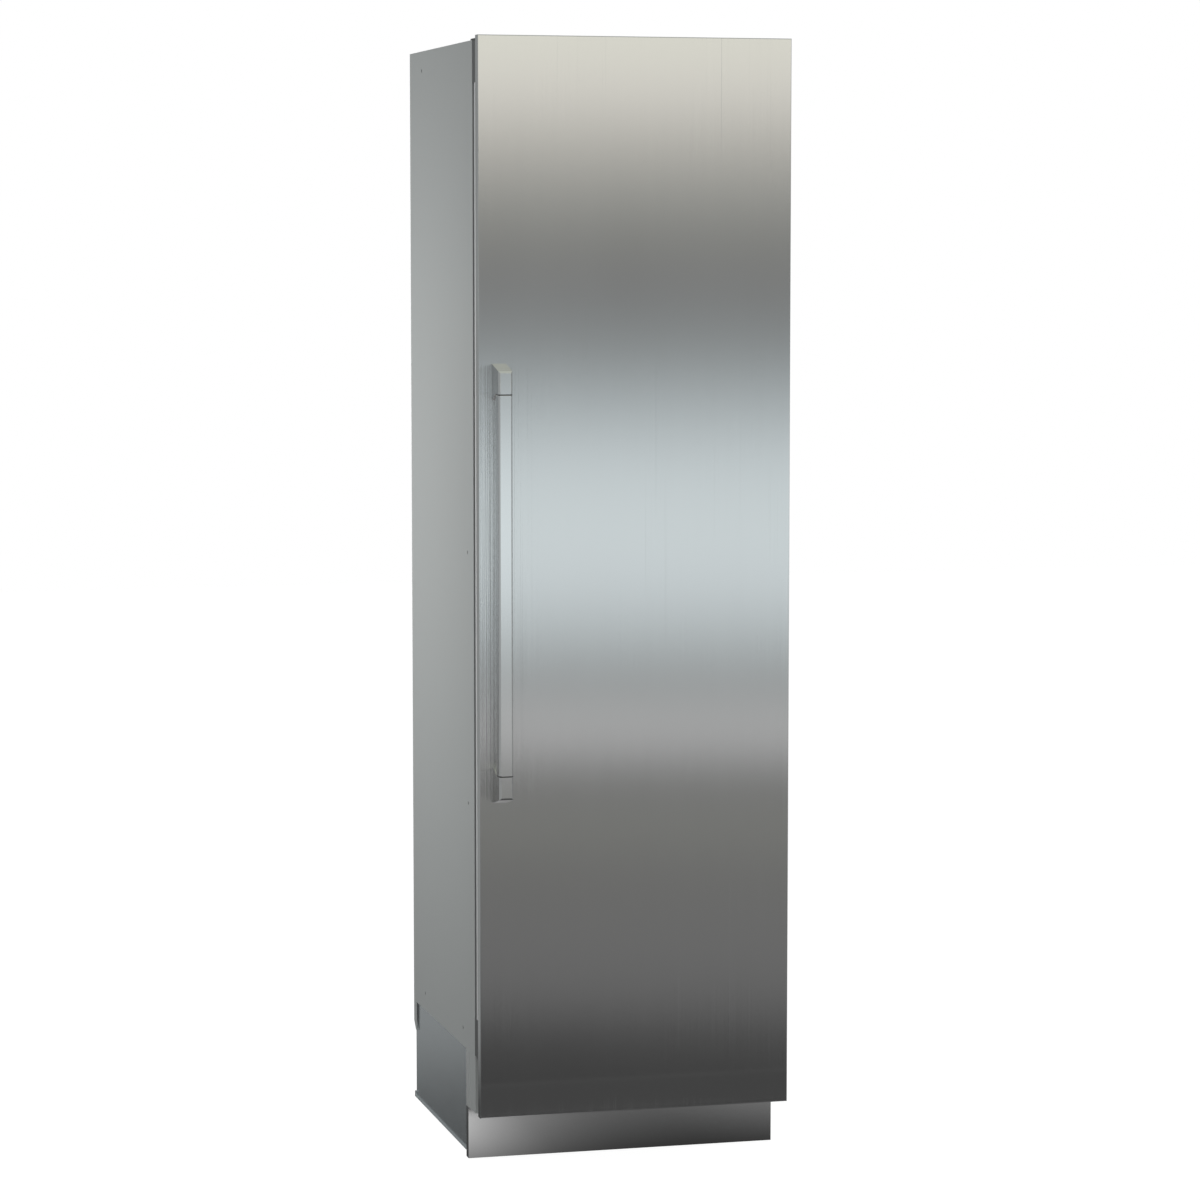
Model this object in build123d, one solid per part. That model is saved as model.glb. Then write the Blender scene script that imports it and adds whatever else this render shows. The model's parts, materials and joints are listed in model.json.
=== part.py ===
from build123d import *
import math
import os

# A built-in column refrigerator: one full-height door on the right-hand hinge, a square bar handle
# on the left, a sheet-steel casing round an insulated cavity, and the cooling machine in the base.
# Millimetres. X runs to the right, Y to the back, Z up. The origin is on the floor, below the
# middle of the whole object's box. A "depth" is measured back from the face of the door panel.

# Overall sizes
width = 603.0
body_depth = 610.0
handle_standoff = 55.0
plinth_height = 102.0
apron_height = 110.0
casing_height = 1904.0
panel_top_rise = 8.0

side_x = width / 2
front_y = handle_standoff / 2 - body_depth / 2
back_y = front_y + body_depth
casing_base_height = plinth_height + apron_height
casing_top_z = casing_base_height + casing_height
panel_top_z = casing_top_z + panel_top_rise

# Clearances shared by every fit
seat_gap = 0.3
shaft_gap = 0.05
overrun = 5.0
quarter_turn = 90.0

# Door stack, from the panel's face to the casing
panel_thickness = 20.0
panel_sheet = 1.0
panel_edge_radius = 1.5
door_shell_depth = 13.0
door_sheet = 1.0
door_side_inset = 0.5
door_end_clearance = 1.5
gasket_depth = 13.7
panel_back_y = front_y + panel_thickness
shell_back_y = panel_back_y + door_shell_depth
casing_front_y = shell_back_y + gasket_depth + seat_gap
door_side_x = side_x - door_side_inset
door_base_z = casing_base_height + door_end_clearance
door_top_z = casing_top_z - door_end_clearance

# Casing sheets and front frame
casing_sheet = 1.2
frame_thickness = 2.0
tail_depth = 24.0
tail_drop = 58.0
tail_bevel = 17.0
casing_inner_x = side_x - casing_sheet
casing_inner_back_y = back_y - casing_sheet
foam_front_y = casing_front_y + frame_thickness
foam_base_z = casing_base_height + casing_sheet
foam_top_z = casing_top_z - casing_sheet

# Cavity and its liner
wall_foam = 47.3
floor_foam = 52.3
ceiling_foam = 47.3
back_foam = 52.3
liner_thickness = 1.5
cavity_x = casing_inner_x - wall_foam - liner_thickness
cavity_base_z = foam_base_z + floor_foam + liner_thickness
cavity_top_z = foam_top_z - ceiling_foam - liner_thickness
cavity_back_y = casing_inner_back_y - back_foam - liner_thickness

# Small screws in the casing's sides
screw_head_radius = 3.5
screw_head_thickness = 0.9
screw_shank_radius = 2.0
screw_shank_length = 12.0
screw_sink = 0.2
rear_screw_inset = 112.0
front_screw_inset = 51.0
lower_screw_inset = 103.0
top_screw_drop = 38.0
lower_screw_rise = 35.0
front_screw_height_shares = (0.25, 0.5)

# Front apron under the door and the toe kick under it
apron_sheet = 1.5
apron_strip_width = 24.0
apron_cheek_inset = 0.8
toe_kick_depth = 105.0
toe_kick_sheet = 1.5
toe_kick_return = 19.0
toe_kick_ground_gap = 2.0
toe_kick_front_y = front_y + toe_kick_depth
apron_back_y = toe_kick_front_y + toe_kick_return
apron_step_y = apron_back_y - apron_strip_width
toe_kick_top_z = plinth_height - seat_gap

# Recessed base
base_inset = 3.5
base_back_inset = 5.0
base_sheet = 1.5
base_floor_z = 14.0
base_floor_thickness = 2.0
base_lip_thickness = 1.5
heel_height = 12.0
heel_depth = 9.0
base_front_y = apron_back_y + seat_gap
base_back_y = back_y - base_back_inset
base_side_x = side_x - base_inset
base_inner_x = base_side_x - base_sheet
machine_floor_z = base_floor_z + base_floor_thickness
back_cover_thickness = 1.5
back_cover_slot_width = 60.0
back_cover_slot_height = 5.0
back_cover_slot_pitch = 14.0
back_cover_slot_rows = 6
back_cover_slot_columns = 3
back_cover_slot_spacing = 90.0
back_cover_slot_inset = 56.5
back_cover_slot_low_z = 60.0

# Levelling feet
foot_side_inset = 53.0
front_foot_inset = 40.7
rear_foot_inset = 40.0
foot_pad_radius = 20.0
foot_pad_height = 8.0
foot_pad_bevel = 2.0
foot_stem_radius = 6.0
foot_stem_top_z = 66.0
foot_boss_radius = 12.0
foot_boss_height = 20.0
foot_x = base_side_x - foot_side_inset

# Hinge: the pin stands in the door near its right edge
pivot_inset = 12.0
pivot_back = 6.3
pin_radius = 3.5
pin_length = 24.0
bush_radius = 4.8
bush_length = 22.0
bush_flange_radius = 5.6
bush_flange_height = 1.0
hinge_arm_radius = 5.8
hinge_arm_thickness = 4.0
hinge_arm_reach = 34.0
hinge_plate_width = 70.0
hinge_plate_depth = 70.0
hinge_plate_height = 60.0
hinge_flange_thickness = 2.5
hinge_screw_radius = 4.0
hinge_screw_height = 2.0
hinge_screw_spacing = 40.0
pivot_x = side_x - pivot_inset
pivot_y = panel_back_y + pivot_back

# Strip that hides the gap over the door's top edge
strip_front_lap = 17.0
strip_back_lap = 17.0
strip_thickness = 3.0
strip_right_margin = 20.0

# Handle: a square bar between two end posts
handle_side_inset = 39.0
handle_centre_drop = 2.0
handle_bar_width = 27.0
handle_bar_depth = 25.0
handle_bevel = 3.5
handle_wall = 3.0
handle_clear_length = 706.0
handle_ring_gap = 2.0
handle_ring_step = 1.6
handle_spigot_length = 15.0
post_height = 42.0
post_flare = 13.0
handle_screw_radius = 2.5
handle_screw_head_radius = 5.0
handle_screw_head_height = 4.0
handle_screw_reach = 20.0
handle_x = handle_side_inset - side_x
handle_centre_z = (plinth_height + panel_top_z) / 2 - handle_centre_drop
handle_front_y = front_y - handle_standoff
handle_back_y = handle_front_y + handle_bar_depth
handle_half_length = handle_clear_length / 2

# Drawers on side carriers at the bottom of the cavity
drawer_names = ("drawer_lower", "drawer_upper")
drawer_base_gap = 6.0
drawer_height = 245.0
drawer_spacing = 22.0
drawer_door_gap = 33.0
drawer_back_gap = 20.0
drawer_side_gap = 12.5
drawer_wall = 3.0
drawer_face_thickness = 12.0
drawer_corner_radius = 6.0
drawer_grip_height = 16.0
drawer_grip_half_width = 90.0
drawer_grip_recess = 7.0
drawer_grip_drop = 26.0
carrier_back_gap = 8.0
carrier_width = 24.0
rail_height = 30.0
rail_depth = 7.0
rail_wall = 1.5
rail_lip = 5.0
rail_drop = 52.0
runner_engagement = 4.5
cover_glass_thickness = 4.0
carrier_inner_x = cavity_x - carrier_width
carrier_height = drawer_base_gap + len(drawer_names) * (drawer_height + drawer_spacing)
cover_top_z = cavity_base_z + carrier_height + cover_glass_thickness

# Door body behind the panel
plug_side_clearance = 10.0
plug_base_clearance = 10.0
plug_top_clearance = 12.0
plug_reach = 30.0
dyke_width = 16.0
dyke_inset = 20.5
dyke_reach = 73.0
dyke_base_gap = 39.0
dyke_top_gap = 26.0
door_liner_thickness = 1.5
plug_x = cavity_x - plug_side_clearance
plug_base_z = cavity_base_z + plug_base_clearance
plug_top_z = cavity_top_z - plug_top_clearance
plug_face_y = casing_front_y + plug_reach
dyke_outer_x = cavity_x - dyke_inset
dyke_inner_x = dyke_outer_x - dyke_width
dyke_face_y = plug_face_y + dyke_reach
dyke_base_z = cover_top_z + dyke_base_gap
dyke_top_z = cavity_top_z - dyke_top_gap

# Seal round the door
gasket_outer_inset = 24.5
gasket_base_width = 18.0
gasket_bulb_width = 12.0
gasket_base_depth = 4.0
gasket_overlap_z = 18.0

# Dark plastic caps on the door's left edge
cap_top_height = 77.0
cap_base_height = 72.0
cap_width = 14.0

# Door bins, their lugs and the bottle divider
bin_names = ("door_bin_lower", "door_bin_middle", "door_bin_upper")
bin_base_gap = 22.0
bin_top_room = 13.0
bin_walls = (110.0, 85.0, 85.0)
bin_side_gap = 7.0
bin_back_gap = 1.0
bin_depth = 100.0
bin_wall = 2.5
bin_floor = 3.0
bin_corner_radius = 10.0
hook_gap = 1.5
hook_back_gap = 11.0
hook_depth = 36.0
hook_height = 43.0
hook_rise = 30.0
lug_reach = 5.5
lug_margin = 8.0
lug_height = 12.0
divider_x = 60.0
divider_thickness = 3.0
divider_height = 86.0
divider_clip = 4.0
divider_gap = 0.4
bin_base_z = dyke_base_z + bin_base_gap
bin_pitch = (dyke_top_z - bin_base_z - bin_top_room) / len(bin_names)
hook_front_y = plug_face_y + hook_back_gap
hook_end_y = hook_front_y + hook_depth

# Drawers and carriers stand behind the door's plug
drawer_half_width = carrier_inner_x - drawer_side_gap
drawer_front_y = plug_face_y + drawer_door_gap
carrier_front_y = drawer_front_y + drawer_face_thickness

# Air duct cover at the back of the cavity, with the evaporator behind it
duct_depth = 57.0
duct_cover_thickness = 3.0
duct_cover_base_gap = 29.0
duct_cover_top_gap = 30.0
duct_slot_height = 8.0
duct_slot_rows = 4
duct_slot_side_margin = 24.75
duct_slot_low_gap = 120.0
duct_slot_top_gap = 36.0
evaporator_side_gap = 66.5
evaporator_top_gap = 146.0
evaporator_height = 320.0
evaporator_depth = 38.0
evaporator_fin_count = 25
evaporator_fin_thickness = 1.5
evaporator_tube_radius = 5.0
evaporator_tube_rows = 6
duct_cover_y = cavity_back_y - duct_depth
duct_back_y = duct_cover_y + duct_cover_thickness
duct_cover_base_z = cover_top_z + duct_cover_base_gap
duct_cover_top_z = cavity_top_z - duct_cover_top_gap
duct_slot_pitch = (
    duct_cover_top_z - duct_cover_base_z - duct_slot_low_gap - duct_slot_top_gap
) / duct_slot_rows
evaporator_half_width = cavity_x - evaporator_side_gap
evaporator_top_z = cavity_top_z - evaporator_top_gap
evaporator_base_z = evaporator_top_z - evaporator_height
drawer_back_y = duct_cover_y - drawer_back_gap
carrier_back_y = duct_cover_y - carrier_back_gap

# Shelves
shelf_count = 4
shelf_first_rise = 9.0
shelf_top_room = 55.0
shelf_glass_thickness = 4.0
shelf_side_gap = 3.0
shelf_bin_gap = 14.0
shelf_back_gap = 3.0
support_width = 12.0
support_height = 10.0
support_front_margin = 8.0
trim_overlap = 8.0
trim_wall = 2.5
trim_fit = 0.1
shelf_pitch = (cavity_top_z - cover_top_z - shelf_top_room) / (shelf_count + 1)
shelf_base_z = cover_top_z + shelf_pitch + shelf_first_rise
shelf_front_y = plug_face_y + bin_back_gap + bin_depth + shelf_bin_gap

# Fans: a ring with a motor on three spokes, and a rotor of five blades
blade_count = 5
blade_thickness = 1.6
blade_pitch_angle = 32.0
spoke_count = 3
spoke_width = 8.0
spoke_thickness = 4.0
fan_ring_wall = 5.0
blade_tip_gap = 3.0
fan_shaft_radius = 2.0
evaporator_fan_radius = 52.0
evaporator_fan_depth = 32.0
evaporator_fan_drop = 100.0
evaporator_hub_radius = 16.0
condenser_fan_radius = 68.0
condenser_fan_depth = 40.0
condenser_hub_radius = 20.0
motor_share = 0.45
rotor_share = 0.36
evaporator_fan_z = evaporator_base_z - evaporator_fan_drop

# Lights and control panel
light_front_gap = 41.0
light_width = 14.0
light_thickness = 3.0
light_base_gap = 49.0
light_top_gap = 60.0
control_side_gap = 101.5
control_front_gap = 49.0
control_depth = 34.0
control_height = 16.0
control_bevel = 6.0

# Machine in the base
compressor_side_gap = 51.5
compressor_back_gap = 45.0
compressor_radius = 72.0
compressor_height = 142.0
compressor_round = 30.0
compressor_plate_half_width = 95.0
compressor_plate_half_depth = 60.0
compressor_plate_thickness = 3.0
grommet_radius = 12.0
grommet_height = 12.0
grommet_inset = 16.0
stub_radius = 4.0
stub_length = 14.0
stub_drop = 23.0
drip_pan_half_width = 95.0
drip_pan_half_depth = 80.0
drip_pan_height = 16.0
drip_pan_wall = 2.0
condenser_side_gap = 21.5
condenser_front_gap = 75.7
condenser_width = 200.0
condenser_thickness = 40.0
condenser_height = 160.0
condenser_fin_count = 22
condenser_fin_thickness = 1.5
condenser_tube_radius = 5.0
condenser_tube_rows = 4
condenser_fan_gap = 0.5
line_radius = 3.0
line_bend = 16.0
line_side_run = 56.0
line_back_run = 80.0
drier_radius = 11.0
electronics_side_gap = 55.0
electronics_width = 150.0
electronics_front_gap = 65.7
electronics_depth = 110.0
electronics_height = 62.0
electronics_round = 4.0
inlet_side_gap = 96.5
inlet_z = 110.0
inlet_width = 30.0
inlet_height = 24.0
inlet_depth = 22.0
inlet_socket_margin = 4.0
inlet_socket_depth = 14.0
inlet_blade_radius = 1.5
inlet_blade_spacing = 7.0
compressor_x = base_inner_x - compressor_side_gap - compressor_plate_half_width
compressor_y = base_back_y - compressor_back_gap - drip_pan_half_depth
compressor_base_z = machine_floor_z + grommet_height
can_base_z = compressor_base_z + compressor_plate_thickness
line_run_z = can_base_z + compressor_height - stub_drop
condenser_left_x = condenser_side_gap - base_inner_x
condenser_right_x = condenser_left_x + condenser_width
condenser_front_y = base_front_y + condenser_front_gap
electronics_left_x = condenser_right_x + electronics_side_gap
electronics_front_y = base_front_y + electronics_front_gap
inlet_x = inlet_side_gap - base_inner_x

# Two holes in the casing's top for a wall bracket
wall_hole_radius = 2.75
wall_hole_spacing = 300.0
wall_hole_inset = 40.0


def block(x_low, x_high, y_low, y_high, z_low, z_high):
    """A box between two corners."""
    middle = ((x_low + x_high) / 2, (y_low + y_high) / 2, (z_low + z_high) / 2)
    return Pos(*middle) * Box(x_high - x_low, y_high - y_low, z_high - z_low)


def rod_x(radius, x_low, x_high, y, z):
    """A round bar along X."""
    return Pos((x_low + x_high) / 2, y, z) * Rot(0, quarter_turn, 0) * Cylinder(radius, x_high - x_low)


def rod_y(radius, x, y_low, y_high, z):
    """A round bar along Y."""
    return Pos(x, (y_low + y_high) / 2, z) * Rot(quarter_turn, 0, 0) * Cylinder(radius, y_high - y_low)


def rod_z(radius, x, y, z_low, z_high):
    """A round bar along Z."""
    return Pos(x, y, (z_low + z_high) / 2) * Cylinder(radius, z_high - z_low)


def prism_x(points, x_low, x_high):
    """An outline in Y and Z, drawn out along X."""
    outline = Plane.YZ * Polygon(*points, align=None)
    return Pos(x_low, 0, 0) * extrude(outline, x_high - x_low)


def prism_z(points, z_low, z_high):
    """An outline in X and Y, drawn out along Z."""
    return Pos(0, 0, z_low) * extrude(Polygon(*points, align=None), z_high - z_low)


def other_side(shape):
    """The same piece on the left of the object."""
    return mirror(shape, about=Plane.YZ)


def round_edges(shape, axis, radius):
    """Round every edge that runs along an axis."""
    return fillet(shape.edges().filter_by(axis), radius)


# Casing

def screw_places():
    """Y and Z of the five small screws in one side of the casing."""
    rear_y = back_y - rear_screw_inset
    places = [
        (rear_y, casing_top_z - top_screw_drop),
        (rear_y, casing_base_height + lower_screw_rise),
        (casing_front_y + lower_screw_inset, casing_base_height + lower_screw_rise),
    ]
    for share in front_screw_height_shares:
        places.append((casing_front_y + front_screw_inset, casing_base_height + share * casing_height))
    return places


def casing_side():
    """Right side sheet, with a short bevelled tail at its lower rear corner and the screw holes."""
    sheet = block(casing_inner_x, side_x, casing_front_y, back_y, casing_base_height, casing_top_z)
    tail_low_z = casing_base_height - tail_drop
    outline = [
        (back_y - tail_depth, casing_base_height),
        (back_y - tail_depth, tail_low_z),
        (back_y - tail_bevel, tail_low_z),
        (back_y, tail_low_z + tail_bevel),
        (back_y, casing_base_height),
    ]
    sheet += prism_x(outline, casing_inner_x, side_x)
    for y, z in screw_places():
        sheet -= rod_x(screw_head_radius + shaft_gap, casing_inner_x - overrun, side_x + overrun, y, z)
    return sheet


def side_screws():
    """Small flush screws in the right side."""
    screws = []
    for y, z in screw_places():
        head_face_x = side_x - screw_sink
        head_back_x = head_face_x - screw_head_thickness
        head = rod_x(screw_head_radius, head_back_x, head_face_x, y, z)
        shank = rod_x(screw_shank_radius, head_back_x - screw_shank_length, head_back_x, y, z)
        screws.append(head + shank)
    return screws


def casing_top():
    """Top sheet between the sides, with the two holes for a wall bracket."""
    sheet = block(-casing_inner_x, casing_inner_x, casing_front_y, back_y, foam_top_z, casing_top_z)
    for sign in (-1, 1):
        x = sign * wall_hole_spacing / 2
        y = back_y - wall_hole_inset
        sheet -= rod_z(wall_hole_radius, x, y, foam_top_z - overrun, casing_top_z + overrun)
    return sheet


def casing_bottom():
    """Bottom sheet of the insulated box."""
    return block(-casing_inner_x, casing_inner_x, casing_front_y, back_y, casing_base_height, foam_base_z)


def rear_panel():
    """Back sheet of the insulated box."""
    return block(-casing_inner_x, casing_inner_x, casing_inner_back_y, back_y, foam_base_z, foam_top_z)


def liner_space(wall):
    """The cavity's box, made larger by a wall all round but at its open front."""
    return block(
        -cavity_x - wall, cavity_x + wall, foam_front_y, cavity_back_y + wall,
        cavity_base_z - wall, cavity_top_z + wall
    )


def front_frame():
    """Flat steel frame that the door's seal closes on."""
    plate = block(-casing_inner_x, casing_inner_x, casing_front_y, foam_front_y, foam_base_z, foam_top_z)
    mouth = block(
        -cavity_x, cavity_x, casing_front_y - overrun, foam_front_y + overrun, cavity_base_z, cavity_top_z
    )
    return plate - mouth


def cabinet_foam():
    """Insulation between the casing and the liner."""
    foam = block(-casing_inner_x, casing_inner_x, foam_front_y, casing_inner_back_y, foam_base_z, foam_top_z)
    foam -= liner_space(liner_thickness)
    for y, z in screw_places():
        tip_x = casing_inner_x - screw_shank_length
        pocket = rod_x(screw_shank_radius + shaft_gap, tip_x, side_x, y, z)
        foam -= pocket
        foam -= other_side(pocket)
    for sign in (-1, 1):
        x = sign * wall_hole_spacing / 2
        y = back_y - wall_hole_inset
        foam -= rod_z(wall_hole_radius, x, y, foam_top_z - screw_shank_length, casing_top_z)
    return foam


def inner_liner():
    """Moulded liner of the cavity, open at the front."""
    return liner_space(liner_thickness) - liner_space(0)


def top_gap_strip():
    """Dark strip on the casing's front top edge, left of the hinge."""
    right_x = pivot_x - hinge_arm_reach - hinge_plate_width / 2 - strip_right_margin
    return block(
        -casing_inner_x, right_x, casing_front_y - strip_front_lap, casing_front_y + strip_back_lap,
        casing_top_z, casing_top_z + strip_thickness
    )


# Base, apron and toe kick

def base_side():
    """Right side of the recessed base, with an outward lip along its foot and a taller heel."""
    plate = block(base_inner_x, base_side_x, base_front_y, base_back_y, base_floor_z, casing_base_height)
    lip_top_z = base_floor_z + base_lip_thickness
    heel_top_z = base_floor_z + heel_height
    lip = block(base_inner_x, side_x, base_front_y, base_back_y, base_floor_z, lip_top_z)
    heel = block(base_inner_x, side_x, base_back_y - heel_depth, base_back_y, base_floor_z, heel_top_z)
    return plate + lip + heel


def foot_places():
    """X and Y of the four levelling feet."""
    return {
        "foot_front_left": (-foot_x, base_front_y + front_foot_inset),
        "foot_front_right": (foot_x, base_front_y + front_foot_inset),
        "foot_rear_left": (-foot_x, base_back_y - rear_foot_inset),
        "foot_rear_right": (foot_x, base_back_y - rear_foot_inset),
    }


def base_floor():
    """Floor sheet of the base, with a bored boss for each foot."""
    sheet = block(-base_inner_x, base_inner_x, base_front_y, base_back_y, base_floor_z, machine_floor_z)
    for x, y in foot_places().values():
        sheet += rod_z(foot_boss_radius, x, y, machine_floor_z, machine_floor_z + foot_boss_height)
    for x, y in foot_places().values():
        bore_top_z = machine_floor_z + foot_boss_height + overrun
        sheet -= rod_z(foot_stem_radius + shaft_gap, x, y, base_floor_z - overrun, bore_top_z)
    return sheet


def inlet_opening(margin):
    """The mains inlet's outline through the back cover."""
    half_width = inlet_width / 2 + margin
    half_height = inlet_height / 2 + margin
    return block(
        inlet_x - half_width, inlet_x + half_width, base_back_y - inlet_depth, base_back_y,
        inlet_z - half_height, inlet_z + half_height
    )


def base_back_cover():
    """Removable cover of the machine space, with rows of air slots."""
    inner_back_y = base_back_y - back_cover_thickness
    sheet = block(-base_inner_x, base_inner_x, inner_back_y, base_back_y, machine_floor_z, casing_base_height)
    for row in range(back_cover_slot_rows):
        z = back_cover_slot_low_z + row * back_cover_slot_pitch
        for column in range(back_cover_slot_columns):
            x = base_inner_x - back_cover_slot_inset - column * back_cover_slot_spacing
            sheet -= block(
                x - back_cover_slot_width, x, inner_back_y - overrun, base_back_y + overrun,
                z, z + back_cover_slot_height
            )
    return sheet - inlet_opening(shaft_gap)


def front_apron():
    """Folded sheet under the door: a front plate, a top shelf and two cheeks with a raised rear strip."""
    cheek_x = side_x - apron_cheek_inset
    plate = block(
        -cheek_x, cheek_x, casing_front_y, casing_front_y + apron_sheet, plinth_height, casing_base_height
    )
    apron = plate
    for sign in (-1, 1):
        inner_x = side_x - apron_cheek_inset - apron_sheet
        cheek = block(inner_x, cheek_x, casing_front_y, apron_step_y, plinth_height, casing_base_height)
        strip = block(inner_x, side_x, apron_step_y, apron_back_y, plinth_height, casing_base_height)
        pair = cheek + strip
        apron += pair if sign > 0 else other_side(pair)
    return apron


def toe_kick():
    """Polished plate at the floor, with a return at each end that meets the base."""
    low_z = toe_kick_ground_gap
    front_inner_y = toe_kick_front_y + toe_kick_sheet
    plate = block(-side_x, side_x, toe_kick_front_y, front_inner_y, low_z, toe_kick_top_z)
    for sign in (-1, 1):
        turn = block(
            side_x - toe_kick_sheet, side_x, front_inner_y, apron_back_y, low_z, toe_kick_top_z
        )
        plate += turn if sign > 0 else other_side(turn)
    return plate


def levelling_foot(x, y):
    """Threaded stem with a round pad."""
    pad = rod_z(foot_pad_radius, x, y, 0, foot_pad_height)
    pad = chamfer(pad.edges().filter_by(GeomType.CIRCLE).sort_by(Axis.Z)[-1], foot_pad_bevel)
    return pad + rod_z(foot_stem_radius, x, y, foot_pad_height, foot_stem_top_z)


# Hinges

def hinge_arm(z_low, z_high):
    """Flat arm from the pin towards the back and the middle, bored for the pin."""
    head = rod_z(hinge_arm_radius, pivot_x, pivot_y, z_low, z_high)
    tail = rod_z(hinge_arm_radius, pivot_x - hinge_arm_reach, pivot_y + hinge_arm_reach, z_low, z_high)
    slant = hinge_arm_radius / math.sqrt(2)
    outline = [
        (pivot_x - slant, pivot_y - slant),
        (pivot_x + slant, pivot_y + slant),
        (pivot_x + slant - hinge_arm_reach, pivot_y + slant + hinge_arm_reach),
        (pivot_x - slant - hinge_arm_reach, pivot_y - slant + hinge_arm_reach),
    ]
    return head + tail + prism_z(outline, z_low, z_high)


def pin_hole(z_low, z_high):
    """The hole for the pin through an arm."""
    return rod_z(pin_radius + shaft_gap, pivot_x, pivot_y, z_low - overrun, z_high + overrun)


def top_hinge_bracket():
    """Bracket on the casing's top: arm, plate and two screws."""
    z_high = casing_top_z + hinge_arm_thickness
    centre_x = pivot_x - hinge_arm_reach
    plate_front_y = casing_front_y + hinge_arm_radius
    plate = block(
        centre_x - hinge_plate_width / 2, centre_x + hinge_plate_width / 2,
        plate_front_y, plate_front_y + hinge_plate_depth, casing_top_z, z_high
    )
    bracket = plate + hinge_arm(casing_top_z, z_high)
    for sign in (-1, 1):
        x = centre_x + sign * hinge_screw_spacing / 2
        y = plate_front_y + hinge_plate_depth - hinge_arm_reach / 2
        bracket += rod_z(hinge_screw_radius, x, y, z_high, z_high + hinge_screw_height)
    return bracket - pin_hole(casing_top_z, z_high)


def bottom_hinge_bracket():
    """Bracket on the apron's face: arm under the door and an upright flange."""
    z_high = casing_base_height
    z_low = z_high - hinge_arm_thickness
    centre_x = pivot_x - hinge_arm_reach
    flange_front_y = casing_front_y - hinge_flange_thickness
    flange = block(
        centre_x - hinge_plate_width / 2, centre_x + hinge_plate_width / 2,
        flange_front_y, casing_front_y, z_high - hinge_plate_height, z_high
    )
    front_only = block(
        centre_x - hinge_plate_width, side_x, front_y, casing_front_y, z_low - overrun, z_high + overrun
    )
    bracket = flange + (hinge_arm(z_low, z_high) & front_only)
    return bracket - pin_hole(z_low, z_high)


def hinge_pins():
    """The two pins, each flush with its arm and standing in the door's bush."""
    upper = rod_z(
        pin_radius, pivot_x, pivot_y, casing_top_z + hinge_arm_thickness - pin_length,
        casing_top_z + hinge_arm_thickness
    )
    low_z = casing_base_height - hinge_arm_thickness
    lower = rod_z(pin_radius, pivot_x, pivot_y, low_z, low_z + pin_length)
    return [upper, lower]


def bush_space(margin, flange_margin):
    """Outside of both bushes, a margin larger."""
    upper = rod_z(bush_radius + margin, pivot_x, pivot_y, door_top_z - bush_length - margin, door_top_z)
    lower = rod_z(bush_radius + margin, pivot_x, pivot_y, door_base_z, door_base_z + bush_length + margin)
    if flange_margin:
        upper += rod_z(bush_flange_radius, pivot_x, pivot_y, door_top_z, door_top_z + bush_flange_height)
        lower += rod_z(bush_flange_radius, pivot_x, pivot_y, door_base_z - bush_flange_height, door_base_z)
    return [upper, lower]


def hinge_bushes():
    """Flanged plastic bushes in the door's top and bottom edge."""
    bushes = []
    for bush in bush_space(0, True):
        bore = rod_z(
            pin_radius + shaft_gap, pivot_x, pivot_y, door_base_z - overrun, door_top_z + overrun
        )
        bushes.append(bush - bore)
    return bushes


# Door

def front_panel():
    """Brushed steel skin: a face with a softly rounded fold along all four edges."""
    pan = block(-side_x, side_x, front_y, panel_back_y, plinth_height, panel_top_z)
    pan = fillet(pan.faces().sort_by(Axis.Y)[0].edges(), panel_edge_radius)
    hollow = block(
        -side_x + panel_sheet, side_x - panel_sheet, front_y + panel_sheet, panel_back_y + overrun,
        plinth_height + panel_sheet, panel_top_z - panel_sheet
    )
    return pan - hollow - handle_screw_space(shaft_gap)


def panel_core():
    """Board that fills the steel skin."""
    board = block(
        -side_x + panel_sheet, side_x - panel_sheet, front_y + panel_sheet, panel_back_y,
        plinth_height + panel_sheet, panel_top_z - panel_sheet
    )
    return board - handle_screw_space(shaft_gap)


def handle_screw_heights():
    """Height of the screw in each end post."""
    offset = handle_half_length + handle_ring_gap + post_height / 2
    return [handle_centre_z - offset, handle_centre_z + offset]


def handle_screw_space(margin):
    """Both handle screws, a margin larger; the heads lie in the back of the board."""
    space = None
    for z in handle_screw_heights():
        head_front_y = panel_back_y - seat_gap - handle_screw_head_height
        head_end_y = panel_back_y - seat_gap if margin == 0 else panel_back_y + overrun
        head = rod_y(handle_screw_head_radius + margin, handle_x, head_front_y, head_end_y, z)
        shank = rod_y(handle_screw_radius + margin, handle_x, front_y - handle_screw_reach, head_front_y, z)
        screw = head + shank
        space = screw if space is None else space + screw
    return space


def handle_section(inset):
    """Outline of the bar in X and Y, its two front corners bevelled."""
    half = handle_bar_width / 2 - inset
    low_y = handle_front_y + inset
    high_y = handle_back_y - inset
    bevel = handle_bevel - inset / 2
    return [
        (handle_x - half, high_y),
        (handle_x - half, low_y + bevel),
        (handle_x - half + bevel, low_y),
        (handle_x + half - bevel, low_y),
        (handle_x + half, low_y + bevel),
        (handle_x + half, high_y),
    ]


def handle_bar():
    """Square tube with bevelled front corners."""
    low_z = handle_centre_z - handle_half_length
    high_z = handle_centre_z + handle_half_length
    tube = prism_z(handle_section(0), low_z, high_z)
    return tube - prism_z(handle_section(handle_wall), low_z - overrun, high_z + overrun)


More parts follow.
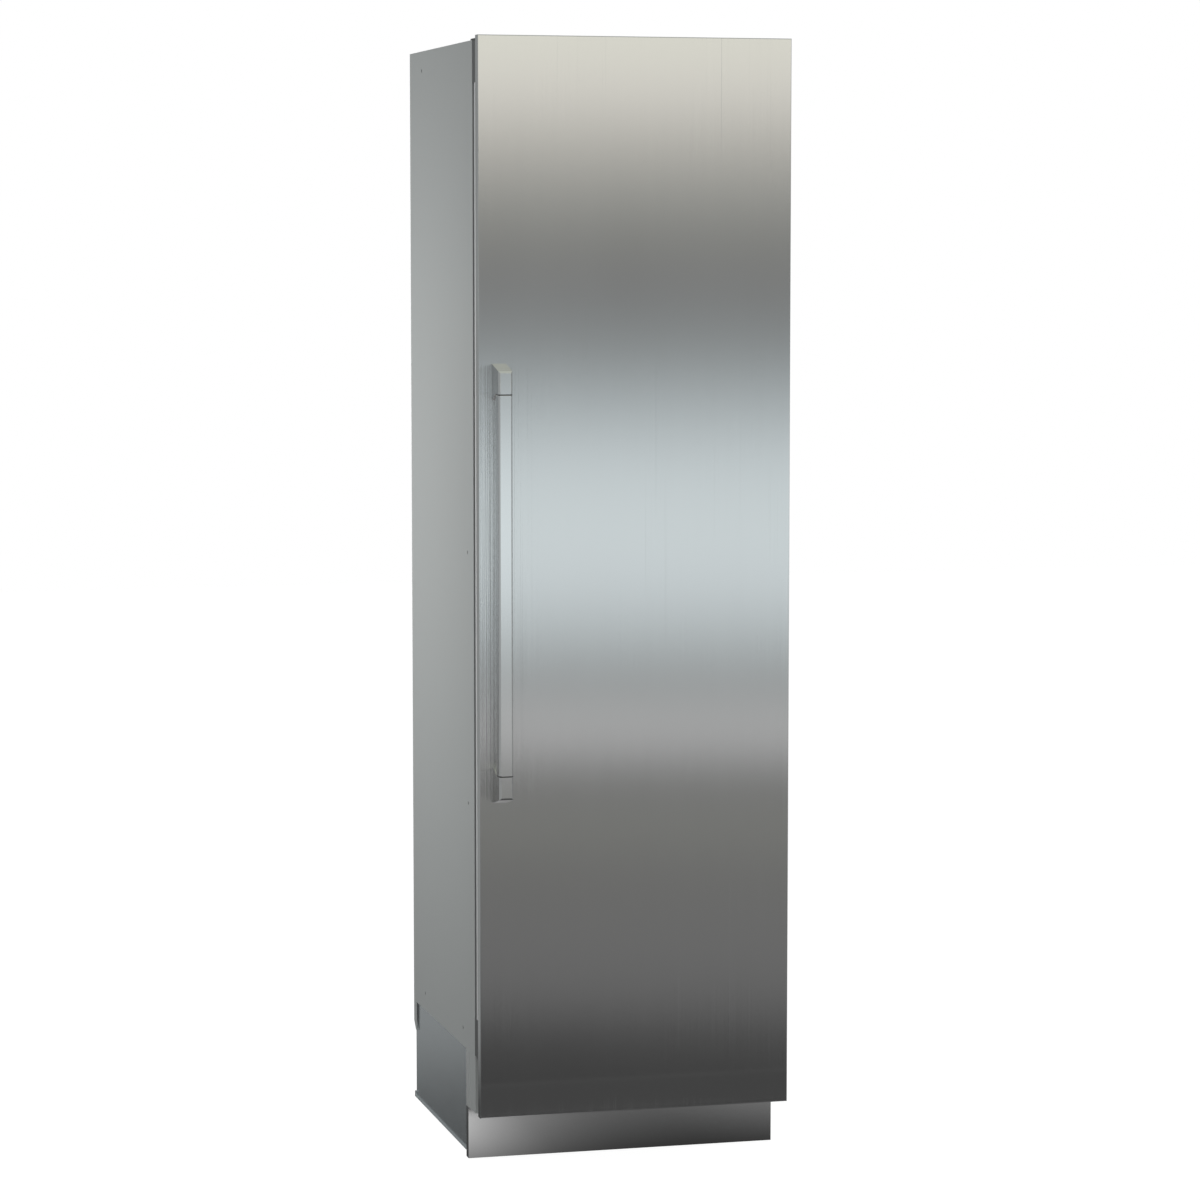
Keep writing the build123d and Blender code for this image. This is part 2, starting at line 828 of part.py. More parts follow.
def handle_post():
    """Upper end post: it flares towards the panel, and a spigot holds the bar."""
    low_z = handle_centre_z + handle_half_length + handle_ring_gap
    high_z = low_z + post_height
    half = handle_bar_width / 2
    side_view = [
        (handle_front_y, low_z),
        (handle_back_y, low_z),
        (front_y, low_z - post_flare),
        (front_y, high_z + post_flare),
        (handle_front_y, high_z),
    ]
    bevel = handle_bevel
    top_view = [
        (handle_x - half, front_y),
        (handle_x - half, handle_front_y + bevel),
        (handle_x - half + bevel, handle_front_y),
        (handle_x + half - bevel, handle_front_y),
        (handle_x + half, handle_front_y + bevel),
        (handle_x + half, front_y),
    ]
    tall = post_height + post_flare * 2
    body = prism_x(side_view, handle_x - half, handle_x + half)
    body = body & prism_z(top_view, low_z - tall, high_z + tall)
    ring = prism_z(handle_section(handle_ring_step), low_z - handle_ring_gap, low_z)
    spigot_low_z = low_z - handle_ring_gap - handle_spigot_length
    spigot = prism_z(handle_section(handle_wall + seat_gap), spigot_low_z, low_z)
    return body + ring + spigot - handle_screw_space(shaft_gap)


def handle_posts():
    """Both end posts; the lower one is the upper one turned over."""
    upper = handle_post()
    lower = mirror(upper, about=Plane.XY.offset(handle_centre_z))
    return [lower, upper]


def handle_screws():
    """The screws that hold the posts from behind the panel."""
    return handle_screw_space(0).solids()


def door_outer_shell():
    """Folded steel pan behind the panel, bored for the hinge bushes."""
    pan = block(-door_side_x, door_side_x, panel_back_y, shell_back_y, door_base_z, door_top_z)
    hollow = block(
        -door_side_x + door_sheet, door_side_x - door_sheet, panel_back_y + door_sheet,
        shell_back_y + overrun, door_base_z + door_sheet, door_top_z - door_sheet
    )
    shell = pan - hollow
    for space in bush_space(shaft_gap, False):
        shell -= space
    return shell


def door_inner_form(wall):
    """The door's inner side as a solid: rim, plug and two dykes, each a wall smaller."""
    rim = block(
        -door_side_x + door_sheet, door_side_x - door_sheet, shell_back_y - door_liner_thickness,
        shell_back_y, door_base_z + door_sheet, door_top_z - door_sheet
    )
    plug = block(
        -plug_x + wall, plug_x - wall, shell_back_y - door_liner_thickness, plug_face_y - wall,
        plug_base_z + wall, plug_top_z - wall
    )
    dyke = block(
        dyke_inner_x + wall, dyke_outer_x - wall, plug_face_y - door_liner_thickness, dyke_face_y - wall,
        dyke_base_z + wall, dyke_top_z - wall
    )
    form = plug + dyke + other_side(dyke)
    return form if wall else form + rim


def bin_heights():
    """Base height of each door bin."""
    return [bin_base_z + number * bin_pitch for number in range(len(bin_names))]


def bin_lug(base_z):
    """Lug on the right dyke that a bin's hook sits on."""
    low_z = base_z + hook_rise
    return block(
        dyke_inner_x - lug_reach, dyke_inner_x, hook_front_y + lug_margin, hook_end_y - lug_margin,
        low_z, low_z + lug_height
    )


def door_inner_liner():
    """Moulded inner skin of the door, with a pair of lugs for each bin."""
    liner = door_inner_form(0) - door_inner_form(door_liner_thickness)
    for base_z in bin_heights():
        lug = bin_lug(base_z)
        liner += lug
        liner += other_side(lug)
    return liner


def door_foam():
    """Insulation of the door, in its shell, plug and dykes."""
    slab = block(
        -door_side_x + door_sheet, door_side_x - door_sheet, panel_back_y + door_sheet,
        shell_back_y - door_liner_thickness, door_base_z + door_sheet, door_top_z - door_sheet
    )
    foam = slab + door_inner_form(door_liner_thickness)
    for space in bush_space(shaft_gap, False):
        foam -= space
    return foam


def seal_ring(width_of_ring, y_low, y_high):
    """Rectangular ring, centred on the seal's line."""
    middle_x = side_x - gasket_outer_inset - gasket_base_width / 2
    middle_low_z = cavity_base_z - gasket_overlap_z
    middle_high_z = cavity_top_z + gasket_overlap_z
    half = width_of_ring / 2
    outside = block(
        -middle_x - half, middle_x + half, y_low, y_high, middle_low_z - half, middle_high_z + half
    )
    inside = block(
        -middle_x + half, middle_x - half, y_low - overrun, y_high + overrun,
        middle_low_z + half, middle_high_z - half
    )
    return outside - inside


def door_gasket():
    """Magnetic seal: a flat base on the door and a narrower bulb that meets the front frame."""
    step_y = shell_back_y + gasket_base_depth
    return seal_ring(gasket_base_width, shell_back_y, step_y) + seal_ring(
        gasket_bulb_width, step_y, shell_back_y + gasket_depth
    )


def edge_cap(z_low, z_high):
    """Plastic cap on the door's left edge: it hides the seal and wraps the shell's side."""
    behind_shell = block(
        -side_x, -side_x + cap_width, shell_back_y, casing_front_y - seat_gap, z_low, z_high
    )
    skin = block(
        -side_x, -side_x + door_side_inset, panel_back_y + seat_gap, shell_back_y, z_low, z_high
    )
    return behind_shell + skin


def door_edge_caps():
    """Caps at the top and the bottom of the door's left edge."""
    return [
        edge_cap(door_base_z, door_base_z + cap_base_height),
        edge_cap(door_top_z - cap_top_height, door_top_z),
    ]


# Door bins

def bin_half_width():
    """Half the width of a bin's tray."""
    return dyke_inner_x - bin_side_gap


def door_bin(base_z, wall_height):
    """Clear tray whose side hooks sit over the lugs, so that it lifts off upwards."""
    half = bin_half_width()
    low_y = plug_face_y + bin_back_gap
    high_y = low_y + bin_depth
    tray = block(-half, half, low_y, high_y, base_z, base_z + wall_height)
    tray = round_edges(tray, Axis.Z, bin_corner_radius)
    hollow = block(
        -half + bin_wall, half - bin_wall, low_y + bin_wall, high_y - bin_wall,
        base_z + bin_floor, base_z + wall_height + overrun
    )
    tray -= round_edges(hollow, Axis.Z, bin_corner_radius - bin_wall)
    notch = block(
        half, dyke_inner_x, hook_front_y + lug_margin - seat_gap, hook_end_y - lug_margin + seat_gap,
        base_z + hook_rise - overrun, base_z + hook_rise + lug_height + seat_gap
    )
    hook = block(
        half, dyke_inner_x - hook_gap, hook_front_y, hook_end_y, base_z + hook_rise,
        base_z + hook_rise + hook_height
    )
    hook -= notch
    return tray + hook + other_side(hook)


def bottle_divider():
    """Clear plate across the lower bin that slides sideways and clips over the tray's outer wall."""
    base_z = bin_heights()[0]
    wall_height = bin_walls[0]
    low_y = plug_face_y + bin_back_gap + bin_wall + divider_gap
    wall_inner_y = plug_face_y + bin_back_gap + bin_depth - bin_wall
    wall_outer_y = wall_inner_y + bin_wall
    low_z = base_z + bin_floor + divider_gap
    top_z = base_z + wall_height + divider_gap
    half = divider_thickness / 2
    plate = block(
        divider_x - half, divider_x + half, low_y, wall_inner_y - divider_gap, low_z, low_z + divider_height
    )
    riser = block(
        divider_x - half, divider_x + half, wall_inner_y - divider_gap - divider_clip,
        wall_inner_y - divider_gap, low_z, top_z + divider_clip
    )
    bridge = block(
        divider_x - divider_clip, divider_x + divider_clip, wall_inner_y - divider_gap - divider_clip,
        wall_outer_y + divider_gap + divider_clip / 2, top_z, top_z + divider_clip
    )
    tongue = block(
        divider_x - divider_clip, divider_x + divider_clip, wall_outer_y + divider_gap,
        wall_outer_y + divider_gap + divider_clip / 2, top_z - divider_clip * 2, top_z
    )
    return plate + riser + bridge + tongue


# Shelves, lights and control panel

def shelf_heights():
    """Underside height of each glass shelf."""
    return [shelf_base_z + number * shelf_pitch for number in range(shelf_count)]


def shelf_glass(z):
    """Glass plate of one shelf."""
    half = cavity_x - shelf_side_gap
    return block(-half, half, shelf_front_y, duct_cover_y - shelf_back_gap, z, z + shelf_glass_thickness)


def shelf_trim(z):
    """Channel over a shelf's front edge."""
    half = cavity_x - shelf_side_gap
    channel = block(
        -half, half, shelf_front_y - trim_wall, shelf_front_y + trim_overlap, z - trim_wall,
        z + shelf_glass_thickness + trim_wall
    )
    groove = block(
        -half - overrun, half + overrun, shelf_front_y - trim_fit, shelf_front_y + trim_overlap + overrun,
        z - trim_fit, z + shelf_glass_thickness + trim_fit
    )
    return round_edges(channel, Axis.X, trim_wall / 2) - groove


def shelf_support(z):
    """Bar on the cavity's right wall under a shelf."""
    return block(
        cavity_x - support_width, cavity_x, shelf_front_y + trim_overlap + support_front_margin,
        duct_cover_y - shelf_back_gap, z - support_height, z
    )


def light_strip():
    """Lamp strip on the cavity's right wall."""
    y = casing_front_y + light_front_gap
    return block(
        cavity_x - light_thickness, cavity_x, y, y + light_width, cover_top_z + light_base_gap,
        cavity_top_z - light_top_gap
    )


def control_panel():
    """Touch panel under the cavity's ceiling, its lower front edge bevelled."""
    low_z = cavity_top_z - control_height
    y = casing_front_y + control_front_gap
    half = cavity_x - control_side_gap
    outline = [
        (y + control_bevel, low_z),
        (y + control_depth, low_z),
        (y + control_depth, cavity_top_z),
        (y, cavity_top_z),
        (y, low_z + control_bevel),
    ]
    return prism_x(outline, -half, half)


# Air duct, evaporator and fans

def fan_housing(radius, depth, hub_radius):
    """Ring along Z from zero, with a motor held on spokes at its far end."""
    ring = rod_z(radius + fan_ring_wall, 0, 0, 0, depth)
    ring -= rod_z(radius, 0, 0, -overrun, depth + overrun)
    motor_low_z = depth * (1 - motor_share)
    motor = rod_z(hub_radius, 0, 0, motor_low_z, depth)
    housing = ring + motor
    for number in range(spoke_count):
        spoke = block(
            0, radius + fan_ring_wall / 2, -spoke_width / 2, spoke_width / 2, depth - spoke_thickness, depth
        )
        housing += Rot(0, 0, number * quarter_turn * 4 / spoke_count) * spoke
    bore_radius = fan_shaft_radius + shaft_gap
    return housing - rod_z(bore_radius, 0, 0, motor_low_z - overrun, depth - spoke_thickness)


def fan_rotor(radius, depth, hub_radius):
    """Hub with pitched blades, on a short shaft that runs in the motor."""
    high_z = depth * (1 - motor_share) - seat_gap
    low_z = high_z - depth * rotor_share
    hub = rod_z(hub_radius, 0, 0, low_z, high_z)
    tip_radius = radius - blade_tip_gap
    envelope = rod_z(tip_radius, 0, 0, low_z, high_z)
    rotor = hub
    for number in range(blade_count):
        chord = (high_z - low_z) * 2
        blade = Rot(blade_pitch_angle, 0, 0) * block(
            hub_radius / 2, tip_radius, -chord / 2, chord / 2, -blade_thickness / 2, blade_thickness / 2
        )
        blade = Pos(0, 0, (low_z + high_z) / 2) * blade
        rotor += Rot(0, 0, number * quarter_turn * 4 / blade_count) * (blade & envelope)
    shaft_end_z = high_z + depth * motor_share / 2
    return rotor + rod_z(fan_shaft_radius, 0, 0, high_z, shaft_end_z)


def facing_back(shape, x, y, z):
    """Turn a piece drawn along Z so that it points to the back, and put it in its place."""
    return Pos(x, y, z) * Rot(-quarter_turn, 0, 0) * shape


def air_duct_cover():
    """Cover in front of the evaporator, with air slots and the fan's round mouth."""
    cover = block(
        -cavity_x + seat_gap, cavity_x - seat_gap, duct_cover_y, duct_back_y, duct_cover_base_z,
        duct_cover_top_z
    )
    for row in range(duct_slot_rows):
        z = duct_cover_base_z + duct_slot_low_gap + row * duct_slot_pitch
        slot = block(
            evaporator_fan_radius + duct_slot_side_margin, cavity_x - duct_slot_side_margin,
            duct_cover_y - overrun, duct_back_y + overrun, z, z + duct_slot_height
        )
        cover -= slot
        cover -= other_side(slot)
    return cover - rod_y(
        evaporator_fan_radius, 0, duct_cover_y - overrun, duct_back_y + overrun, evaporator_fan_z
    )


def finned_coil(x_low, x_high, y_low, y_high, z_low, z_high, fins, fin_thickness, tube_radius, rows):
    """Rows of tube along X through evenly spaced fins."""
    y = (y_low + y_high) / 2
    coil = None
    row_pitch = (z_high - z_low) / rows
    for row in range(rows):
        tube = rod_x(tube_radius, x_low, x_high, y, z_low + (row + 1 / 2) * row_pitch)
        coil = tube if coil is None else coil + tube
    fin_pitch = (x_high - x_low - fin_thickness) / (fins - 1)
    plates = []
    for number in range(fins):
        x = x_low + number * fin_pitch
        plates.append(block(x, x + fin_thickness, y_low, y_high, z_low, z_high))
    return coil + plates


def evaporator():
    """Finned coil between the duct cover and the cavity's back wall."""
    high_y = cavity_back_y - seat_gap
    return finned_coil(
        -evaporator_half_width, evaporator_half_width, high_y - evaporator_depth, high_y,
        evaporator_base_z, evaporator_top_z, evaporator_fin_count, evaporator_fin_thickness,
        evaporator_tube_radius, evaporator_tube_rows
    )


def evaporator_fan_housing():
    """The duct fan's ring and motor, on the back of the duct cover."""
    housing = fan_housing(evaporator_fan_radius, evaporator_fan_depth, evaporator_hub_radius)
    return facing_back(housing, 0, duct_back_y, evaporator_fan_z)


def evaporator_fan_rotor():
    """The duct fan's rotor."""
    rotor = fan_rotor(evaporator_fan_radius, evaporator_fan_depth, evaporator_hub_radius)
    return facing_back(rotor, 0, duct_back_y, evaporator_fan_z)


# Drawers

def drawer_base_heights():
    """Underside height of each drawer."""
    first_z = cavity_base_z + drawer_base_gap
    return [first_z + number * (drawer_height + drawer_spacing) for number in range(len(drawer_names))]


def drawer(base_z):
    """Open tray with a thick face that has a grip groove."""
    tray = block(
        -drawer_half_width, drawer_half_width, drawer_front_y, drawer_back_y, base_z, base_z + drawer_height
    )
    tray = round_edges(tray, Axis.Z, drawer_corner_radius)
    tray -= block(
        -drawer_half_width + drawer_wall, drawer_half_width - drawer_wall,
        drawer_front_y + drawer_face_thickness, drawer_back_y - drawer_wall, base_z + drawer_wall,
        base_z + drawer_height + overrun
    )
    grip_high_z = base_z + drawer_height - drawer_grip_drop
    return tray - block(
        -drawer_grip_half_width, drawer_grip_half_width, drawer_front_y - overrun,
        drawer_front_y + drawer_grip_recess, grip_high_z - drawer_grip_height, grip_high_z
    )


def rail_centre_z(base_z):
    """Height of a drawer's rails."""
    return base_z + drawer_height - rail_drop


def fixed_rail(base_z):
    """Channel on the right carrier, open towards the drawer."""
    z = rail_centre_z(base_z)
    rail = block(
        carrier_inner_x - rail_depth, carrier_inner_x, carrier_front_y, carrier_back_y,
        z - rail_height / 2, z + rail_height / 2
    )
    slot_half = rail_height / 2 - rail_lip
    return rail - block(
        carrier_inner_x - rail_depth - overrun, carrier_inner_x - rail_wall, carrier_front_y - overrun,
        carrier_back_y + overrun, z - slot_half, z + slot_half
    )


def drawer_runner(base_z):
    """Bar on the drawer's right side that slides in the fixed rail."""
    z = rail_centre_z(base_z)
    half = rail_height / 2 - rail_lip - seat_gap
    return block(
        drawer_half_width, carrier_inner_x - rail_depth + runner_engagement,
        drawer_front_y + drawer_face_thickness, drawer_back_y, z - half, z + half
    )


def drawer_carrier():
    """Moulded side piece that carries the fixed rails and the glass cover."""
    return block(
        carrier_inner_x, cavity_x, carrier_front_y, carrier_back_y, cavity_base_z,
        cavity_base_z + carrier_height
    )


def drawer_cover_glass():
    """Glass lid over the drawers."""
    return block(
        -cavity_x + seat_gap, cavity_x - seat_gap, carrier_front_y, carrier_back_y,
        cover_top_z - cover_glass_thickness, cover_top_z
    )


# Machine space

def compressor():
    """Rounded steel can on a base plate, with a pipe stub on top."""
    x = compressor_x
    y = compressor_y
    plate = block(
        x - compressor_plate_half_width, x + compressor_plate_half_width,
        y - compressor_plate_half_depth, y + compressor_plate_half_depth, compressor_base_z, can_base_z
    )
    can = rod_z(compressor_radius, x, y, can_base_z, can_base_z + compressor_height)
    can = fillet(can.edges().filter_by(GeomType.CIRCLE).sort_by(Axis.Z)[-1], compressor_round)
    stub = rod_x(
        stub_radius, x - compressor_radius - stub_length, x - compressor_radius / 2, y, line_run_z
    )
    return plate + can + stub


def compressor_grommets():
    """Four rubber feet under the compressor's plate."""
    grommets = []
    for x_sign in (-1, 1):
        for y_sign in (-1, 1):
            x = compressor_x + x_sign * (compressor_plate_half_width - grommet_inset)
            y = compressor_y + y_sign * (compressor_plate_half_depth - grommet_inset)
            grommets.append(rod_z(grommet_radius, x, y, machine_floor_z, machine_floor_z + grommet_height))
    return grommets


def drip_pan():
    """Shallow tray on the compressor that catches the condensate."""
    low_z = can_base_z + compressor_height + seat_gap
    x = compressor_x
    y = compressor_y
    inner_half_width = drip_pan_half_width - drip_pan_wall
    inner_half_depth = drip_pan_half_depth - drip_pan_wall
    tray = block(
        x - drip_pan_half_width, x + drip_pan_half_width, y - drip_pan_half_depth, y + drip_pan_half_depth,
        low_z, low_z + drip_pan_height
    )
    return tray - block(
        x - inner_half_width, x + inner_half_width, y - inner_half_depth, y + inner_half_depth,
        low_z + drip_pan_wall, low_z + drip_pan_height + overrun
    )


def condenser_fan_centre():
    """X, Y and Z of the condenser fan's front."""
    x = (condenser_left_x + condenser_right_x) / 2
    y = condenser_front_y + condenser_thickness + condenser_fan_gap
    return x, y, machine_floor_z + condenser_height / 2


def condenser():
    """Finned coil on the base floor behind the apron."""
    return finned_coil(
        condenser_left_x, condenser_right_x, condenser_front_y, condenser_front_y + condenser_thickness,
        machine_floor_z, machine_floor_z + condenser_height, condenser_fin_count,
        condenser_fin_thickness, condenser_tube_radius, condenser_tube_rows
    )


def condenser_fan_housing():
    """The condenser fan's ring and motor, standing on a foot."""
    x, y, z = condenser_fan_centre()
    housing = facing_back(fan_housing(condenser_fan_radius, condenser_fan_depth, condenser_hub_radius), x, y, z)
    foot = block(
        x - condenser_fan_radius / 2, x + condenser_fan_radius / 2, y, y + condenser_fan_depth,
        machine_floor_z, z - condenser_fan_radius
    )
    ring_hole = rod_y(condenser_fan_radius, x, y - overrun, y + condenser_fan_depth + overrun, z)
    return housing + (foot - ring_hole)


def condenser_fan_rotor():
    """The condenser fan's rotor."""
    x, y, z = condenser_fan_centre()
    return facing_back(fan_rotor(condenser_fan_radius, condenser_fan_depth, condenser_hub_radius), x, y, z)


def refrigerant_line():
    """Pipe from the compressor's stub to the casing's bottom, with the drier on its upright run."""
    start_x = compressor_x - compressor_radius - stub_length
    run_x = start_x - line_side_run
    run_y = compressor_y + line_back_run
    path = FilletPolyline(
        (start_x, compressor_y, line_run_z),
        (run_x, compressor_y, line_run_z),
        (run_x, run_y, line_run_z),
        (run_x, run_y, casing_base_height),
        radius=line_bend,
    )
    pipe = sweep(Plane(origin=path @ 0, z_dir=path % 0) * Circle(line_radius), path=path)
    drier_low_y = compressor_y + line_bend * 3 / 2
    drier = rod_y(drier_radius, run_x, drier_low_y, run_y - line_bend, line_run_z)
    return pipe + drier


def electronics_box():
    """Plastic box of the power electronics on the base floor."""
    box = block(
        electronics_left_x, electronics_left_x + electronics_width, electronics_front_y,
        electronics_front_y + electronics_depth, machine_floor_z, machine_floor_z + electronics_height
    )
    return round_edges(box, Axis.Z, electronics_round)


def mains_inlet():
    """Three-pin inlet set in the back cover."""
    body = inlet_opening(0)
    half_width = inlet_width / 2 - inlet_socket_margin
    half_height = inlet_height / 2 - inlet_socket_margin
    body -= block(
        inlet_x - half_width, inlet_x + half_width, base_back_y - inlet_socket_depth,
        base_back_y + overrun, inlet_z - half_height, inlet_z + half_height
    )
    for number in (-1, 0, 1):
        x = inlet_x + number * inlet_blade_spacing
        body += rod_y(
            inlet_blade_radius, x, base_back_y - inlet_socket_depth, base_back_y - inlet_blade_radius, inlet_z
        )
    return body


def pair_of(shape):
    """A right-hand piece and its left-hand twin."""
    return [other_side(shape), shape]


def all_nodes():
    """Every sub-part by name, each as a list of separate solids."""
    screws = side_screws()
    nodes = {
        "casing_left": [other_side(casing_side())],
        "casing_right": [casing_side()],
        "casing_top": [casing_top()],
        "casing_bottom": [casing_bottom()],
        "rear_panel": [rear_panel()],
        "cabinet_foam": [cabinet_foam()],
        "inner_liner": [inner_liner()],
        "front_frame": [front_frame()],
        "side_screws": screws + [other_side(screw) for screw in screws],
        "top_gap_strip": [top_gap_strip()],
        "base_sides": pair_of(base_side()),
        "base_floor": [base_floor()],
        "base_back_cover": [base_back_cover()],
        "front_apron": [front_apron()],
        "toe_kick": [toe_kick()],
        "hinge_brackets": [bottom_hinge_bracket(), top_hinge_bracket()],
        "hinge_pins": hinge_pins(),
        "hinge_bushes": hinge_bushes(),
        "front_panel": [front_panel()],
        "panel_core": [panel_core()],
        "handle_bar": [handle_bar()],
        "handle_posts": handle_posts(),
        "handle_screws": handle_screws(),
        "door_outer_shell": [door_outer_shell()],
        "door_foam": [door_foam()],
        "door_inner_liner": [door_inner_liner()],
        "door_gasket": [door_gasket()],
        "door_edge_caps": door_edge_caps(),
        "bottle_divider": [bottle_divider()],
        "light_strips": pair_of(light_strip()),
        "control_panel": [control_panel()],
        "shelf_glass": [drawer_cover_glass()] + [shelf_glass(z) for z in shelf_heights()],
        "shelf_trims": [shelf_trim(z) for z in shelf_heights()],
        "air_duct_cover": [air_duct_cover()],
        "evaporator": [evaporator()],
        "evaporator_fan_housing": [evaporator_fan_housing()],
        "evaporator_fan_rotor": [evaporator_fan_rotor()],
        "drawer_carriers": pair_of(drawer_carrier()),
        "compressor": [compressor()],
        "compressor_grommets": compressor_grommets(),
        "drip_pan": [drip_pan()],
        "condenser": [condenser()],
        "condenser_fan_housing": [condenser_fan_housing()],
        "condenser_fan_rotor": [condenser_fan_rotor()],
        "refrigerant_line": [refrigerant_line()],
        "electronics_box": [electronics_box()],
        "mains_inlet": [mains_inlet()],
    }
    supports = []
    for z in shelf_heights():
        supports += pair_of(shelf_support(z))
    nodes["shelf_supports"] = supports
    rails = []
    for name, base_z in zip(drawer_names, drawer_base_heights()):
        nodes[name] = [drawer(base_z)]
        nodes[name + "_runners"] = pair_of(drawer_runner(base_z))
        rails += pair_of(fixed_rail(base_z))
    nodes["drawer_rails"] = rails
    for name, base_z, wall_height in zip(bin_names, bin_heights(), bin_walls):
        nodes[name] = [door_bin(base_z, wall_height)]
    for name, place in foot_places().items():
        nodes[name] = [levelling_foot(*place)]
    return nodes


os.makedirs("parts", exist_ok=True)
for node_name, solids in all_nodes().items():
    shape = solids[0] if len(solids) == 1 else Compound(children=solids)
    export_step(shape, f"parts/{node_name}.step")
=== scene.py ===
import json
import math
import bpy
from mathutils import Matrix, Vector


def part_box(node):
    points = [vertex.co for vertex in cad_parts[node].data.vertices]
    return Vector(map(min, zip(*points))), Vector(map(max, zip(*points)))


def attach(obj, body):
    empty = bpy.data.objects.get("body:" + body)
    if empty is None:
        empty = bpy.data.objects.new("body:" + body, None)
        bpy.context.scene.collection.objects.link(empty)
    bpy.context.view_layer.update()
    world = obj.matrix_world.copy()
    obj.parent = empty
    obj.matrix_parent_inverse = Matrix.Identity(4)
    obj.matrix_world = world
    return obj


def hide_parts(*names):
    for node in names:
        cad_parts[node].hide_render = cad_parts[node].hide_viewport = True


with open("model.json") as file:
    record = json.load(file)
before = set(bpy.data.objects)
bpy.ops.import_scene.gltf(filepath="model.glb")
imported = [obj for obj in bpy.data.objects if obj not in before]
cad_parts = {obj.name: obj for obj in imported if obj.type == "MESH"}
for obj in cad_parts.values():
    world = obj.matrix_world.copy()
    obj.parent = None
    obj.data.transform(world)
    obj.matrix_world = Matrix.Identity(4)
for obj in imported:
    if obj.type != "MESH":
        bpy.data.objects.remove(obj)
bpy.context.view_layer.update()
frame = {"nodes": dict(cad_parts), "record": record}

# Camera
# A long lens from the left of the door, at about eye height, tilted slightly down. It takes in the
# whole column with a margin of white round it.
CAMERA_PLACE = (-1.87012, -7.22468, 1.74949)
CAMERA_TILT, CAMERA_TURN = 5.3505, 14.5312
LENS, SENSOR_WIDTH = 115.451, 36
camera = bpy.data.objects.new("camera", bpy.data.cameras.new("camera"))
bpy.context.scene.collection.objects.link(camera)
camera.location = CAMERA_PLACE
camera.rotation_euler = (math.radians(90 - CAMERA_TILT), 0, math.radians(-CAMERA_TURN))
camera.data.lens = LENS
camera.data.sensor_width = SENSOR_WIDTH
bpy.context.scene.camera = camera
bpy.context.scene.view_settings.view_transform = "Standard"

# Studio
# A white room with three soft lamps. The steel sees graded boards instead of it: a warm pale one
# above eye height, a dark band, a wide cool one, a grey step, a dark foot and the pale floor.
# Each tone below stands beside the rise of the rays that see it, from the floor upwards.
BOARD_TONES = (
    (-0.340, (0.42, 0.42, 0.42)),
    (-0.260, (0.20, 0.20, 0.20)),
    (-0.224, (0.045, 0.045, 0.045)),
    (-0.204, (0.052, 0.052, 0.052)),
    (-0.197, (0.170, 0.170, 0.170)),
    (-0.183, (0.178, 0.178, 0.178)),
    (-0.162, (0.173, 0.173, 0.168)),
    (-0.149, (0.236, 0.240, 0.222)),
    (-0.139, (0.085, 0.085, 0.085)),
    (-0.131, (0.560, 0.560, 0.560)),
    (-0.122, (0.530, 0.530, 0.530)),
    (-0.115, (0.255, 0.272, 0.270)),
    (-0.102, (0.545, 0.595, 0.610)),
    (-0.088, (0.738, 0.806, 0.828)),
    (-0.074, (0.750, 0.825, 0.840)),
    (-0.058, (0.690, 0.760, 0.780)),
    (-0.042, (0.462, 0.508, 0.524)),
    (-0.028, (0.266, 0.288, 0.290)),
    (-0.013, (0.203, 0.205, 0.205)),
    (-0.001, (0.222, 0.224, 0.212)),
    (0.012, (0.345, 0.350, 0.327)),
    (0.025, (0.545, 0.528, 0.486)),
    (0.038, (0.815, 0.790, 0.730)),
    (0.052, (0.885, 0.875, 0.775)),
    (0.070, (0.850, 0.855, 0.765)),
)
BOARD_LOW, BOARD_HIGH = BOARD_TONES[0][0], BOARD_TONES[-1][0]
CEILING_LOW, CEILING_HIGH, CEILING_TONE = 0.08, 0.35, (0.46, 0.48, 0.43)
SIDE_START, SIDE_END, SIDE_TONE = 0.6, 0.15, (0.27, 0.28, 0.28)
SIDE_FALL_HIGH, SIDE_FALL_LOW, SIDE_FOOT_SHARE = -0.203, -0.222, 0.2
FOOT_START, FOOT_END, FOOT_TONE = 0.9, 0.97, (0.03, 0.03, 0.03)
WHITE, ROOM_STRENGTH, BACKDROP_STRENGTH = (1, 1, 1, 1), 0.3, 1.0


def graded(tree, value, low, high, first=0.0, last=1.0):
    """A value that runs from first to last while its input runs from low to high."""
    node = tree.nodes.new("ShaderNodeMapRange")
    tree.links.new(value, node.inputs["Value"])
    for label, limit in (("From Min", low), ("From Max", high), ("To Min", first), ("To Max", last)):
        node.inputs[label].default_value = limit
    return node.outputs["Result"]


def tone_ramp(tree, share, tones, interpolation):
    """A colour that follows a share through a row of tones."""
    node = tree.nodes.new("ShaderNodeValToRGB")
    tree.links.new(share, node.inputs["Fac"])
    node.color_ramp.interpolation = interpolation
    stops = node.color_ramp.elements
    for number, (place, tone) in enumerate(tones):
        if number == 0:
            stop = stops[0]
        elif number == len(tones) - 1:
            stop = stops[-1]
        else:
            stop = stops.new(place)
        stop.position = place
        stop.color = (*tone, 1)
    return node.outputs["Color"]


def blend(tree, share, colour):
    """A node that turns a colour into its input B by a share."""
    node = tree.nodes.new("ShaderNodeMix")
    node.data_type = "RGBA"
    tree.links.new(share, node.inputs["Factor"])
    tree.links.new(colour, node.inputs["A"])
    return node


def choose(tree, share, first, second):
    """The first shader where the share is 0, the second where it is 1."""
    node = tree.nodes.new("ShaderNodeMixShader")
    tree.links.new(share, node.inputs["Fac"])
    tree.links.new(first, node.inputs[1])
    tree.links.new(second, node.inputs[2])
    return node.outputs["Shader"]


